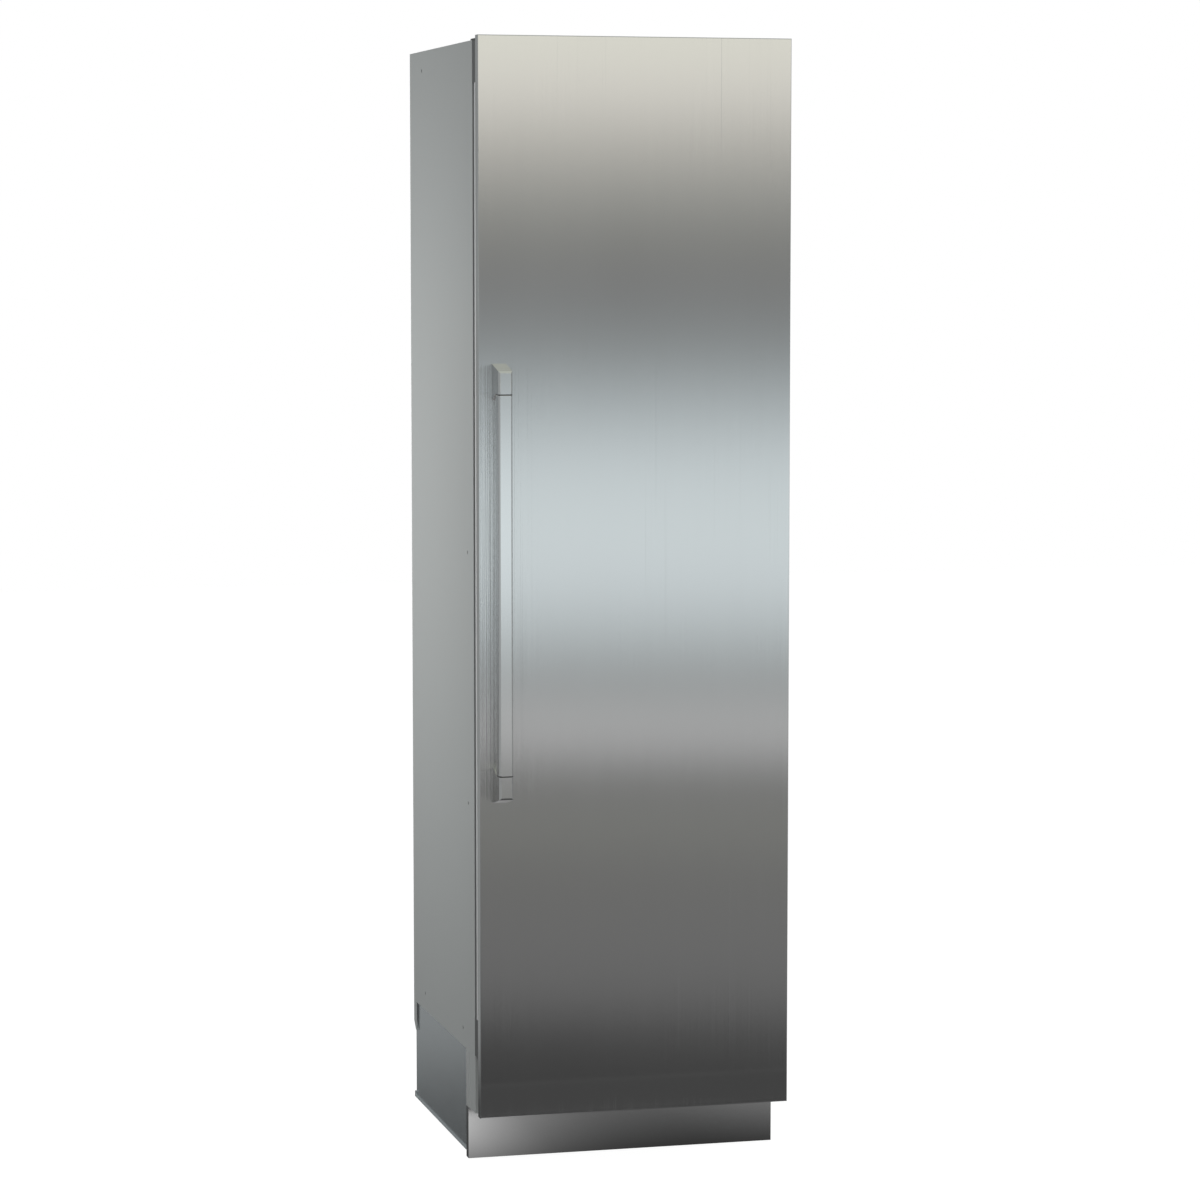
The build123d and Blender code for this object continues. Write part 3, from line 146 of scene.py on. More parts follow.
world = bpy.data.worlds.new("studio")
bpy.context.scene.world = world
world.use_nodes = True
tree = world.node_tree
tree.nodes.clear()
link = tree.links.new
where = tree.nodes.new("ShaderNodeTexCoord")
split = tree.nodes.new("ShaderNodeSeparateXYZ")
link(where.outputs["Generated"], split.inputs["Vector"])
height = split.outputs["Z"]
board_stops = [((rise - BOARD_LOW) / (BOARD_HIGH - BOARD_LOW), tone) for rise, tone in BOARD_TONES]
boards = tone_ramp(tree, graded(tree, height, BOARD_LOW, BOARD_HIGH), board_stops, "LINEAR")
ceiling = blend(tree, graded(tree, height, CEILING_LOW, CEILING_HIGH), boards)
ceiling.inputs["B"].default_value = (*CEILING_TONE, 1)

# Beside and behind the object, the steel sees one grey tone that fades low down.
level = tree.nodes.new("ShaderNodeVectorMath")
level.operation = "MULTIPLY"
level.inputs[1].default_value = (1, 1, 0)
link(where.outputs["Generated"], level.inputs[0])
bearing = tree.nodes.new("ShaderNodeVectorMath")
bearing.operation = "NORMALIZE"
link(level.outputs["Vector"], bearing.inputs[0])
split_bearing = tree.nodes.new("ShaderNodeSeparateXYZ")
link(bearing.outputs["Vector"], split_bearing.inputs["Vector"])
turn = graded(tree, split_bearing.outputs["Y"], -SIDE_START, -SIDE_END)
side_tone = tree.nodes.new("ShaderNodeVectorMath")
side_tone.operation = "SCALE"
side_tone.inputs[0].default_value = SIDE_TONE
side_fall = graded(tree, height, SIDE_FALL_HIGH, SIDE_FALL_LOW, 1.0, SIDE_FOOT_SHARE)
link(side_fall, side_tone.inputs["Scale"])
sides = blend(tree, turn, ceiling.outputs["Result"])
link(side_tone.outputs["Vector"], sides.inputs["B"])
foot = blend(tree, graded(tree, height, -FOOT_START, -FOOT_END), sides.outputs["Result"])
foot.inputs["B"].default_value = (*FOOT_TONE, 1)

# The camera and what shows through glass see a white backdrop, and the rest sees a dimmer room.
rays = tree.nodes.new("ShaderNodeLightPath")
room = tree.nodes.new("ShaderNodeBackground")
room.inputs["Color"].default_value = WHITE
room.inputs["Strength"].default_value = ROOM_STRENGTH
backdrop = tree.nodes.new("ShaderNodeBackground")
backdrop.inputs["Color"].default_value = WHITE
backdrop.inputs["Strength"].default_value = BACKDROP_STRENGTH
steel_view = tree.nodes.new("ShaderNodeBackground")
link(foot.outputs["Result"], steel_view.inputs["Color"])
seen = tree.nodes.new("ShaderNodeMath")
seen.operation = "MAXIMUM"
link(rays.outputs["Is Camera Ray"], seen.inputs[0])
link(rays.outputs["Is Transmission Ray"], seen.inputs[1])
mirrored = choose(tree, rays.outputs["Is Glossy Ray"], room.outputs["Background"],
                  steel_view.outputs["Background"])
shown = choose(tree, seen.outputs["Value"], mirrored, backdrop.outputs["Background"])
out = tree.nodes.new("ShaderNodeOutputWorld")
link(shown, out.inputs["Surface"])

# Square soft lamps that mirror images don't show: name, place, the point it faces, side and power.
LAMPS = (
    ("lamp_front", (-2.5, -5.0, 3.2), (0, 0, 1.0), 3.0, 80),
    ("lamp_left", (-1.5, 0.4, 1.32), (0, 0.3, 1.32), 0.7, 12),
    ("lamp_right", (4.0, -1.5, 2.2), (0, 0, 1.0), 2.4, 40),
)
for name, place, target, side, power in LAMPS:
    lamp = bpy.data.objects.new(name, bpy.data.lights.new(name, "AREA"))
    bpy.context.scene.collection.objects.link(lamp)
    lamp.location = place
    lamp.rotation_euler = (Vector(target) - Vector(place)).to_track_quat("-Z", "Y").to_euler()
    lamp.data.shape = "SQUARE"
    lamp.data.size = side
    lamp.data.energy = power
    lamp.visible_glossy = False


def bare_material(name):
    """A material with an empty tree, that tree, and its surface's input."""
    made = bpy.data.materials.new(name)
    made.use_nodes = True
    made.node_tree.nodes.clear()
    out = made.node_tree.nodes.new("ShaderNodeOutputMaterial")
    return made, made.node_tree, out.inputs["Surface"]


def matt(tree, tone):
    """A matt grey surface."""
    node = tree.nodes.new("ShaderNodeBsdfDiffuse")
    node.inputs["Color"].default_value = (tone, tone, tone, 1)
    return node.outputs["BSDF"]


# The floor is nearly white to the camera and keeps the object's shadow. Mirror images don't show it.
FLOOR_SIZE, FLOOR_TONE, FLOOR_GLOW, FLOOR_SHADOW_TONE = 24, 0.32, 0.95, 0.2
bpy.ops.object.select_all(action="DESELECT")
bpy.ops.mesh.primitive_plane_add(size=FLOOR_SIZE, location=(0, 0, 0))
floor = bpy.context.object
floor.name = "studio_floor"
ground, tree, surface = bare_material("studio_floor")
link = tree.links.new
rays = tree.nodes.new("ShaderNodeLightPath")
glow = tree.nodes.new("ShaderNodeEmission")
glow.inputs["Color"].default_value = WHITE
glow.inputs["Strength"].default_value = FLOOR_GLOW
shown = tree.nodes.new("ShaderNodeAddShader")
link(matt(tree, FLOOR_SHADOW_TONE), shown.inputs[0])
link(glow.outputs["Emission"], shown.inputs[1])
clear = tree.nodes.new("ShaderNodeBsdfTransparent")
lit = choose(tree, rays.outputs["Is Camera Ray"], matt(tree, FLOOR_TONE), shown.outputs["Shader"])
link(choose(tree, rays.outputs["Is Glossy Ray"], lit, clear.outputs["BSDF"]), surface)
floor.data.materials.append(ground)


def mirror_card(name, place, size):
    """A level card that only mirror images show."""
    bpy.ops.object.select_all(action="DESELECT")
    bpy.ops.mesh.primitive_plane_add(size=1, location=place)
    card = bpy.context.object
    card.name = name
    card.scale = (*size, 1)
    bpy.ops.object.transform_apply(location=True, rotation=True, scale=True)
    card.visible_camera = False
    card.visible_diffuse = False
    card.visible_shadow = False
    card.visible_transmission = False
    return card


# The pale floor close to the toe kick, as the polished plate mirrors it: bright at the left,
# fading to the right and towards the plate, where the door shades it.
SHEEN_PLACE, SHEEN_SIZE = (0, -0.37, 0.0005), (1.2, 0.4)
SHEEN_LEFT, SHEEN_RIGHT = -0.3, 0.4
SHEEN_NEAR, SHEEN_FAR, SHEEN_NEAR_SHARE = -0.18, -0.51, 0.33
SHEEN_TONES = ((0.0, 0.89), (0.12, 0.53), (0.26, 0.235), (0.45, 0.138), (0.70, 0.104), (1.0, 0.20))
sheen_floor = mirror_card("studio_floor_sheen", SHEEN_PLACE, SHEEN_SIZE)
sheen, tree, surface = bare_material("studio_floor_sheen")
link = tree.links.new
where = tree.nodes.new("ShaderNodeTexCoord")
split = tree.nodes.new("ShaderNodeSeparateXYZ")
link(where.outputs["Object"], split.inputs["Vector"])
sheen_stops = [(share, (tone, tone, tone)) for share, tone in SHEEN_TONES]
across = tone_ramp(tree, graded(tree, split.outputs["X"], SHEEN_LEFT, SHEEN_RIGHT), sheen_stops, "B_SPLINE")
glow = tree.nodes.new("ShaderNodeEmission")
link(across, glow.inputs["Color"])
link(graded(tree, split.outputs["Y"], SHEEN_NEAR, SHEEN_FAR, SHEEN_NEAR_SHARE, 1.0), glow.inputs["Strength"])
link(glow.outputs["Emission"], surface)
sheen_floor.data.materials.append(sheen)

# A dark card as high as the door's foot, in front of it, keeps that bright floor out of the mirror
# images in the panel's foot and in the handle's lower end.
FLAG_PLACE, FLAG_SIZE, FLAG_TONE = (0, -0.4675, 0.095), (1.2, 0.265), 0.066
flag = mirror_card("studio_flag", FLAG_PLACE, FLAG_SIZE)
shade, tree, surface = bare_material("studio_flag")
glow = tree.nodes.new("ShaderNodeEmission")
glow.inputs["Color"].default_value = (FLAG_TONE, FLAG_TONE, FLAG_TONE, 1)
tree.links.new(glow.outputs["Emission"], surface)
flag.data.materials.append(shade)


# Base pan
# Zinc-coated sheet steel: a floor with four foot bosses, two upright sides with a lip along the
# foot, and a slotted rear cover over the cooling machine. Folded and spot-welded.
def effect(name, inputs, outputs):
    """An empty shader node group with named sockets, and its two end nodes."""
    group = bpy.data.node_groups.new(name, "ShaderNodeTree")
    for label, kind, value in inputs:
        socket = group.interface.new_socket(label, in_out="INPUT", socket_type=kind)
        socket.default_value = value
    for label, kind in outputs:
        group.interface.new_socket(label, in_out="OUTPUT", socket_type=kind)
    return group, group.nodes.new("NodeGroupInput"), group.nodes.new("NodeGroupOutput")


def grain_effect():
    """Colour, roughness and height that vary with a stretched or even noise."""
    group, start, end = effect(
        "surface_grain",
        (
            ("Colour", "NodeSocketColor", (0.5, 0.5, 0.5, 1)),
            ("Colour Spread", "NodeSocketFloat", 0.04),
            ("Roughness", "NodeSocketFloat", 0.4),
            ("Roughness Spread", "NodeSocketFloat", 0.05),
            ("Stretch", "NodeSocketVector", (100, 100, 100)),
            ("Cloud Stretch", "NodeSocketVector", (3, 3, 3)),
        ),
        (
            ("Colour", "NodeSocketColor"),
            ("Roughness", "NodeSocketFloat"),
            ("Height", "NodeSocketFloat"),
        ),
    )
    fine_detail, cloud_detail, noise_middles = 3, 2, 1.0
    nodes, join = group.nodes, group.links.new
    place = nodes.new("ShaderNodeTexCoord")
    noises = []
    for label, detail in (("Stretch", fine_detail), ("Cloud Stretch", cloud_detail)):
        space = nodes.new("ShaderNodeVectorMath")
        space.operation = "MULTIPLY"
        join(place.outputs["Object"], space.inputs[0])
        join(start.outputs[label], space.inputs[1])
        noise = nodes.new("ShaderNodeTexNoise")
        noise.inputs["Scale"].default_value = 1
        noise.inputs["Detail"].default_value = detail
        join(space.outputs["Vector"], noise.inputs["Vector"])
        noises.append(noise.outputs["Fac"])
    both = nodes.new("ShaderNodeMath")
    both.operation = "ADD"
    join(noises[0], both.inputs[0])
    join(noises[1], both.inputs[1])
    centred = nodes.new("ShaderNodeMath")
    centred.operation = "SUBTRACT"
    centred.inputs[1].default_value = noise_middles
    join(both.outputs["Value"], centred.inputs[0])
    colour_change = nodes.new("ShaderNodeMath")
    colour_change.operation = "MULTIPLY_ADD"
    colour_change.inputs[2].default_value = 1.0
    join(centred.outputs["Value"], colour_change.inputs[0])
    join(start.outputs["Colour Spread"], colour_change.inputs[1])
    tint = nodes.new("ShaderNodeVectorMath")
    tint.operation = "SCALE"
    join(start.outputs["Colour"], tint.inputs[0])
    join(colour_change.outputs["Value"], tint.inputs["Scale"])
    join(tint.outputs["Vector"], end.inputs["Colour"])
    rough_change = nodes.new("ShaderNodeMath")
    rough_change.operation = "MULTIPLY_ADD"
    join(centred.outputs["Value"], rough_change.inputs[0])
    join(start.outputs["Roughness Spread"], rough_change.inputs[1])
    join(start.outputs["Roughness"], rough_change.inputs[2])
    join(rough_change.outputs["Value"], end.inputs["Roughness"])
    join(noises[0], end.inputs["Height"])
    return group


GRAIN = grain_effect()


def finish(name, colour, roughness, spread=(0.05, 0.05), stretch=(90, 90, 90), cloud=(3, 3, 3),
           bump=0.05, bump_depth=0.0002, **shader_values):
    """A material: its plain values sit on the shader, its varied ones come from the grain."""
    made = bpy.data.materials.new(name)
    made.use_nodes = True
    nodes, join = made.node_tree.nodes, made.node_tree.links.new
    shader = nodes["Principled BSDF"]
    for label, value in shader_values.items():
        shader.inputs[label.replace("_", " ")].default_value = value
    grain = nodes.new("ShaderNodeGroup")
    grain.node_tree = GRAIN
    grain.inputs["Colour"].default_value = (*colour, 1)
    grain.inputs["Colour Spread"].default_value = spread[0]
    grain.inputs["Roughness"].default_value = roughness
    grain.inputs["Roughness Spread"].default_value = spread[1]
    grain.inputs["Stretch"].default_value = stretch
    grain.inputs["Cloud Stretch"].default_value = cloud
    join(grain.outputs["Colour"], shader.inputs["Base Color"])
    join(grain.outputs["Roughness"], shader.inputs["Roughness"])
    if bump:
        relief = nodes.new("ShaderNodeBump")
        relief.inputs["Strength"].default_value = bump
        relief.inputs["Distance"].default_value = bump_depth
        join(grain.outputs["Height"], relief.inputs["Height"])
        join(relief.outputs["Normal"], shader.inputs["Normal"])
    return made


def wear(material, *nodes):
    """Give CAD nodes a material."""
    for node in nodes:
        for place in frame["nodes"][node].material_slots:
            place.material = material


def adopt(piece, body, material):
    """A finished new piece gets its material and its body."""
    piece.data.materials.clear()
    piece.data.materials.append(material)
    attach(piece, body)


def work_on(*pieces):
    """Select these pieces alone, with the first of them active."""
    bpy.ops.object.select_all(action="DESELECT")
    for piece in pieces:
        piece.select_set(True)
    bpy.context.view_layer.objects.active = pieces[0]


SMOOTH_ANGLE, SHARP_ANGLE = math.radians(35), math.radians(40)


def round_edges(piece, width, segments=2):
    """Round the sharp edges of a piece and shade it smooth between them."""
    work_on(piece)
    bpy.ops.object.shade_smooth_by_angle(angle=SMOOTH_ANGLE)
    rounding = piece.modifiers.new("rounding", "BEVEL")
    rounding.harden_normals = True
    rounding.width = width
    rounding.segments = segments
    rounding.limit_method = "ANGLE"
    rounding.angle_limit = SHARP_ANGLE
    bpy.ops.object.modifier_apply(modifier=rounding.name)


WELD, FLAT_ANGLE = 0.00001, math.radians(1)


def copy_of(node):
    """A CAD node's mesh copied and merged, its flat faces made whole."""
    piece = bpy.data.objects.new("finished_" + node, frame["nodes"][node].data.copy())
    bpy.context.scene.collection.objects.link(piece)
    work_on(piece)
    bpy.ops.mesh.customdata_custom_splitnormals_clear()
    bpy.ops.object.mode_set(mode="EDIT")
    bpy.ops.mesh.select_all(action="SELECT")
    bpy.ops.mesh.remove_doubles(threshold=WELD)
    bpy.ops.mesh.dissolve_limited(angle_limit=FLAT_ANGLE, delimit=set())
    bpy.ops.object.mode_set(mode="OBJECT")
    return piece


BODY_OF = {}
for body, body_nodes in frame["record"]["behaviour"]["bodies"].items():
    for node in body_nodes:
        BODY_OF[node] = body


def stand_in(piece, node):
    """A finished copy takes the place of its node."""
    adopt(piece, BODY_OF[node], frame["nodes"][node].material_slots[0].material)
    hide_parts(node)


def soften(width, *nodes):
    """The nodes with their folded, moulded or cut edges rounded, as on the real pieces."""
    for node in nodes:
        piece = copy_of(node)
        round_edges(piece, width)
        stand_in(piece, node)


SHEET_EDGE = 0.0004
zinc = finish("zinc_coated_sheet", (0.58, 0.62, 0.64), 0.14, spread=(0.06, 0.03),
              stretch=(160, 160, 160), cloud=(26, 26, 26), bump=0.02, Metallic=0.75)
wear(zinc, "base_sides", "base_floor", "base_back_cover")
soften(SHEET_EDGE, "base_sides", "base_floor", "base_back_cover")

# Rear cover screws
# Six zinc-plated pan heads with a cross recess hold the slotted cover to the base's sides. One is
# turned and cut, the others are its copies.
SCREW_RADIUS, SCREW_HEIGHT, SCREW_INSET = 0.0038, 0.002, 0.009
SCREW_RIM_SHARE, SCREW_SLOPE_SHARE, SCREW_EDGE_SHARE = 0.6, 0.35, 0.05
CROSS_LENGTH_SHARE, CROSS_WIDTH_SHARE, CROSS_DEPTH_SHARE = 1.1, 0.28, 0.6
ROUND_SIDES = 24


def pick(piece, kind, wanted):
    """Open a piece in edit mode with only those corners, edges or faces picked that are wanted."""
    if bpy.context.mode == "OBJECT":
        work_on(piece)
        bpy.ops.object.mode_set(mode="EDIT")
    bpy.ops.mesh.select_mode(type=kind)
    bpy.ops.mesh.select_all(action="DESELECT")
    bpy.ops.object.mode_set(mode="OBJECT")
    mesh = piece.data
    for part in {"VERT": mesh.vertices, "EDGE": mesh.edges, "FACE": mesh.polygons}[kind]:
        part.select = wanted(part)
    bpy.ops.object.mode_set(mode="EDIT")


def recess(screws, places, length, width, depth, turn=0.0):
    """Cut a cross into the screw heads at these places, which face back unless they are turned."""
    for across, up in ((length, width), (width, length)):
        cutters = []
        for place in places:
            bpy.ops.object.select_all(action="DESELECT")
            bpy.ops.mesh.primitive_cube_add(size=1, location=place, rotation=(0, 0, turn))
            cutters.append(bpy.context.object)
            cutters[-1].scale = (across, 2 * depth, up)
        work_on(*cutters)
        bpy.ops.object.transform_apply(location=True, rotation=True, scale=True)
        if len(cutters) > 1:
            bpy.ops.object.join()
        work_on(screws)
        carve = screws.modifiers.new("recess", "BOOLEAN")
        carve.operation = "DIFFERENCE"
        carve.object = cutters[0]
        bpy.ops.object.modifier_apply(modifier=carve.name)
        bpy.data.objects.remove(cutters[0], do_unlink=True)


def copied(piece, name, shift):
    """The same piece once more, with a mesh of its own, moved by the shift."""
    twin = bpy.data.objects.new(name, piece.data.copy())
    bpy.context.scene.collection.objects.link(twin)
    twin.data.transform(Matrix.Translation(shift))
    return twin


screw_metal = finish("screw_zinc", (0.3, 0.3, 0.31), 0.35, Metallic=0.9)
cover_low, cover_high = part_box("base_back_cover")
screw_x, screw_rim = cover_high[0] - SCREW_INSET, SCREW_HEIGHT * SCREW_RIM_SHARE
screw_low, screw_high = cover_low[2] + 2 * SCREW_INSET, cover_high[2] - 2 * SCREW_INSET
screw_levels = (screw_low, (screw_low + screw_high) / 2, screw_high)
bpy.ops.object.select_all(action="DESELECT")
bpy.ops.mesh.primitive_cylinder_add(vertices=ROUND_SIDES, radius=SCREW_RADIUS, depth=screw_rim,
                                    location=(screw_x, cover_high[1] + screw_rim / 2, screw_low),
                                    rotation=(math.radians(-90), 0, 0))
bpy.ops.object.transform_apply(location=True, rotation=True, scale=True)
screw = bpy.context.object
screw.name = "cover_screw_1"
pick(screw, "FACE", lambda face: face.center.y > cover_high[1] + screw_rim - WELD)
bpy.ops.mesh.inset(thickness=SCREW_RADIUS * SCREW_SLOPE_SHARE, depth=SCREW_HEIGHT - screw_rim,
                   use_even_offset=False)
bpy.ops.object.mode_set(mode="OBJECT")
recess(screw, [(screw_x, cover_high[1] + SCREW_HEIGHT, screw_low)], SCREW_RADIUS * CROSS_LENGTH_SHARE,
       SCREW_RADIUS * CROSS_WIDTH_SHARE, SCREW_HEIGHT * CROSS_DEPTH_SHARE)
round_edges(screw, SCREW_RADIUS * SCREW_EDGE_SHARE, segments=1)
adopt(screw, "cabinet", screw_metal)
screw_places = [(x, z) for x in (screw_x, -screw_x) for z in screw_levels]
for number, (x, z) in enumerate(screw_places[1:], start=2):
    other = copied(screw, "cover_screw_" + str(number), (x - screw_x, 0, z - screw_low))
    adopt(other, "cabinet", screw_metal)

# Levelling feet
# A zinc-plated steel stem on a round pad, screwed up into the base's bosses: turned from bar, with
# a softened rim. The stem's fine thread is left plain.
PLATE_EDGE = 0.0005
foot_metal = finish("zinc_plated_steel", (0.30, 0.30, 0.31), 0.4, Metallic=0.9)
wear(foot_metal, "foot_front_left", "foot_front_right", "foot_rear_left", "foot_rear_right")
soften(PLATE_EDGE, "foot_front_left", "foot_front_right", "foot_rear_left", "foot_rear_right")

# Toe kick and apron
# The toe kick is a polished steel plate with two short returns. Above it, the apron is a folded
# grey sheet that closes the base under the door.
kick_steel = finish("polished_steel", (0.78, 0.78, 0.78), 0.1, spread=(0.02, 0.02),
                    stretch=(6, 400, 900), cloud=(4, 4, 4), bump=0.01, Metallic=1.0)
wear(kick_steel, "toe_kick")
casing_paint = finish("casing_paint", (0.410, 0.429, 0.424), 0.42, spread=(0.02, 0.04),
                      stretch=(900, 900, 900), cloud=(2, 2, 2), bump_depth=0.0001,
                      Specular_IOR_Level=0.6)
wear(casing_paint, "front_apron")
soften(PLATE_EDGE, "toe_kick", "front_apron")

# Compressor, drip pan and electrics
# A black painted steel can on a pressed plate with four rubber feet, and a drip pan on its lid.
# The pan, the fan, the electronics box and the mains inlet are moulded in black plastic.
MOULDED_EDGE = 0.0006
can_paint = finish("compressor_paint", (0.028, 0.028, 0.03), 0.3, stretch=(300, 300, 300))
wear(can_paint, "compressor")
rubber = finish("grommet_rubber", (0.03, 0.03, 0.03), 0.8, stretch=(400, 400, 400))
wear(rubber, "compressor_grommets")
black_plastic = finish("black_plastic", (0.035, 0.035, 0.036), 0.5, stretch=(500, 500, 500), bump=0.1)
wear(black_plastic, "drip_pan", "condenser_fan_housing", "condenser_fan_rotor", "electronics_box",
     "mains_inlet")
soften(MOULDED_EDGE, "drip_pan", "condenser_fan_housing", "electronics_box", "mains_inlet")

# Condenser and evaporator
# Aluminium fins pressed on straight tubes. The drawn copper line, bent in one plane after another,
# rises from the compressor's stub into the casing and carries the drier on its level run.
fin_metal = finish("aluminium_fins", (0.78, 0.79, 0.8), 0.3, stretch=(200, 200, 20), Metallic=1.0)
wear(fin_metal, "condenser", "evaporator")
copper = finish("drawn_copper", (0.78, 0.42, 0.27), 0.28, spread=(0.12, 0.1), cloud=(30, 30, 30),
                Metallic=1.0)
wear(copper, "refrigerant_line")

# Casing
# Folded sheet steel in satin grey paint: two sides with a short tail, a top, a bottom and a back.
# Small flush screws with a cross recess hold the sides, and a dark moulded strip the top gap.
CROSS_LENGTH, CROSS_WIDTH, CROSS_DEPTH = 0.0042, 0.001, 0.0006
HEAD_TOLERANCE, HEAD_FACING = 0.0001, 0.99
wear(casing_paint, "casing_left", "casing_right", "casing_top", "casing_bottom", "rear_panel")
soften(SHEET_EDGE, "casing_left", "casing_right", "casing_top", "rear_panel")
wear(screw_metal, "side_screws")
side_screws = copy_of("side_screws")
_, screws_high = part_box("side_screws")
heads = [face.center.copy() for face in side_screws.data.polygons
         if abs(face.normal.x) > HEAD_FACING and abs(face.center.x) > screws_high[0] - HEAD_TOLERANCE]
recess(side_screws, heads, CROSS_LENGTH, CROSS_WIDTH, CROSS_DEPTH, turn=math.radians(90))
stand_in(side_screws, "side_screws")
dark_plastic = finish("dark_plastic", (0.10, 0.102, 0.102), 0.45, stretch=(500, 500, 500))
wear(dark_plastic, "top_gap_strip")
soften(MOULDED_EDGE, "top_gap_strip")

# Insulation and board
# Rigid foam, poured between sheet and liner, fills the walls and the door. A grey-faced board
# backs the steel panel and keeps it flat.
foam = finish("rigid_foam", (0.82, 0.72, 0.45), 0.85, stretch=(350, 350, 350), bump=0.3)
wear(foam, "cabinet_foam", "door_foam")
board = finish("faced_board", (0.46, 0.46, 0.45), 0.6, stretch=(300, 300, 300), bump=0.1)
wear(board, "panel_core")
soften(MOULDED_EDGE, "panel_core")

# Liner
# One white vacuum-formed shell lines the cavity, another the back of the door with its two dykes.
# A frame closes the front of the casing, its dark grey partly its own paint, partly painted shade.
LINER_EDGE = 0.0007
liner = finish("liner_plastic", (0.80, 0.815, 0.82), 0.28, spread=(0.01, 0.01), stretch=(60, 60, 60),
               bump=0.01)
wear(liner, "inner_liner", "door_inner_liner")
soften(LINER_EDGE, "inner_liner", "door_inner_liner")
# Dark grey, partly the frame's own paint and partly painted shade for the shade in the gap between door and
# casing.
frame_paint_and_gap_shade = finish("frame_paint_and_gap_shade", (0.16, 0.165, 0.168), 0.4)
wear(frame_paint_and_gap_shade, "front_frame")
soften(SHEET_EDGE, "front_frame")

# Duct cover, fan and shelves
# A brushed steel cover with four air slots hides the evaporator. The fan, the shelf rests and the
# drawer carriers are white plastic; steel trims edge the glass shelves.
duct_steel = finish("duct_steel", (0.6, 0.6, 0.6), 0.3, spread=(0.03, 0.06), stretch=(8, 300, 900),
                    Metallic=1.0)
wear(duct_steel, "air_duct_cover", "shelf_trims")
soften(PLATE_EDGE, "air_duct_cover", "shelf_trims")
white_plastic = finish("white_plastic", (0.78, 0.79, 0.79), 0.45, stretch=(400, 400, 400))
wear(white_plastic, "evaporator_fan_housing", "evaporator_fan_rotor", "shelf_supports", "drawer_carriers")
soften(MOULDED_EDGE, "evaporator_fan_housing", "shelf_supports", "drawer_carriers")
glass = finish("shelf_glass", (0.93, 0.97, 0.96), 0.03, spread=(0.01, 0.01), bump=0,
               Transmission_Weight=1.0, IOR=1.5)
wear(glass, "shelf_glass")
soften(PLATE_EDGE, "shelf_glass")

# Drawers and door bins
# Clear plastic, moulded with rounded rims. The drawers hang on zinc-plated runners that slide on
# fixed rails, the bins hook over lugs on the door's dykes, and a divider stands in the lower one.
CLEAR_EDGE = 0.0008
CLEAR_PIECES = ("drawer_lower", "drawer_upper", "door_bin_lower", "door_bin_middle", "door_bin_upper",
                "bottle_divider")
clear_plastic = finish("clear_plastic", (0.95, 0.97, 0.98), 0.06, spread=(0.01, 0.02), bump=0,
                       Transmission_Weight=0.95, IOR=1.46)
wear(clear_plastic, *CLEAR_PIECES)
soften(CLEAR_EDGE, *CLEAR_PIECES)
rail_metal = finish("rail_zinc", (0.62, 0.63, 0.64), 0.35, Metallic=0.9)
wear(rail_metal, "drawer_rails", "drawer_lower_runners", "drawer_upper_runners")

# Lights and controls
# Frosted plastic covers over rows of small lamps line both sides of the opening. A gloss black
# touch bar with five dished white dots is fixed under the ceiling.
light_cover = finish("frosted_cover", (0.95, 0.95, 0.92), 0.4, Emission_Color=(1, 0.98, 0.94, 1),
                     Emission_Strength=3.0)
wear(light_cover, "light_strips")
soften(PLATE_EDGE, "light_strips")
control_black = finish("control_gloss", (0.03, 0.03, 0.032), 0.12)
wear(control_black, "control_panel")
soften(MOULDED_EDGE, "control_panel")
DOT_RADIUS, DOT_HEIGHT, DOT_PITCH, DOT_COUNT = 0.0028, 0.0005, 0.03, 5
DOT_RIM_SHARE, DOT_DISH_SHARE, DOT_EDGE_SHARE = 0.45, 0.6, 0.3
dot_white = finish("indicator_white", (0.8, 0.82, 0.84), 0.4)
panel_low, panel_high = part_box("control_panel")
dot_place = (-(DOT_COUNT - 1) / 2 * DOT_PITCH, panel_low[1] - DOT_HEIGHT / 2,
             (panel_low[2] + panel_high[2]) / 2)
bpy.ops.object.select_all(action="DESELECT")
bpy.ops.mesh.primitive_cylinder_add(vertices=ROUND_SIDES, radius=DOT_RADIUS, depth=DOT_HEIGHT,
                                    location=dot_place, rotation=(math.radians(90), 0, 0))
bpy.ops.object.transform_apply(location=True, rotation=True, scale=True)
dot = bpy.context.object
dot.name = "control_dot_1"
pick(dot, "FACE", lambda face: face.center.y < panel_low[1] - DOT_HEIGHT + WELD)
bpy.ops.mesh.inset(thickness=DOT_RADIUS * DOT_RIM_SHARE, depth=-DOT_HEIGHT * DOT_DISH_SHARE,
                   use_even_offset=False)
bpy.ops.object.mode_set(mode="OBJECT")
round_edges(dot, DOT_HEIGHT * DOT_EDGE_SHARE, segments=1)
adopt(dot, "cabinet", dot_white)
for number in range(1, DOT_COUNT):
    other = copied(dot, "control_dot_" + str(number + 1), (number * DOT_PITCH, 0, 0))
    adopt(other, "cabinet", dot_white)

# Hinges
# A pressed steel bracket is screwed on at the top and at the bottom. Its ground pin stands in a
# white plastic bush that is pressed into the door.
hinge_metal = finish("hinge_steel", (0.33, 0.33, 0.34), 0.4, Metallic=0.9)
wear(hinge_metal, "hinge_brackets")
soften(PLATE_EDGE, "hinge_brackets")
pin_steel = finish("ground_pin", (0.7, 0.7, 0.7), 0.2, Metallic=1.0)
wear(pin_steel, "hinge_pins")
wear(white_plastic, "hinge_bushes")

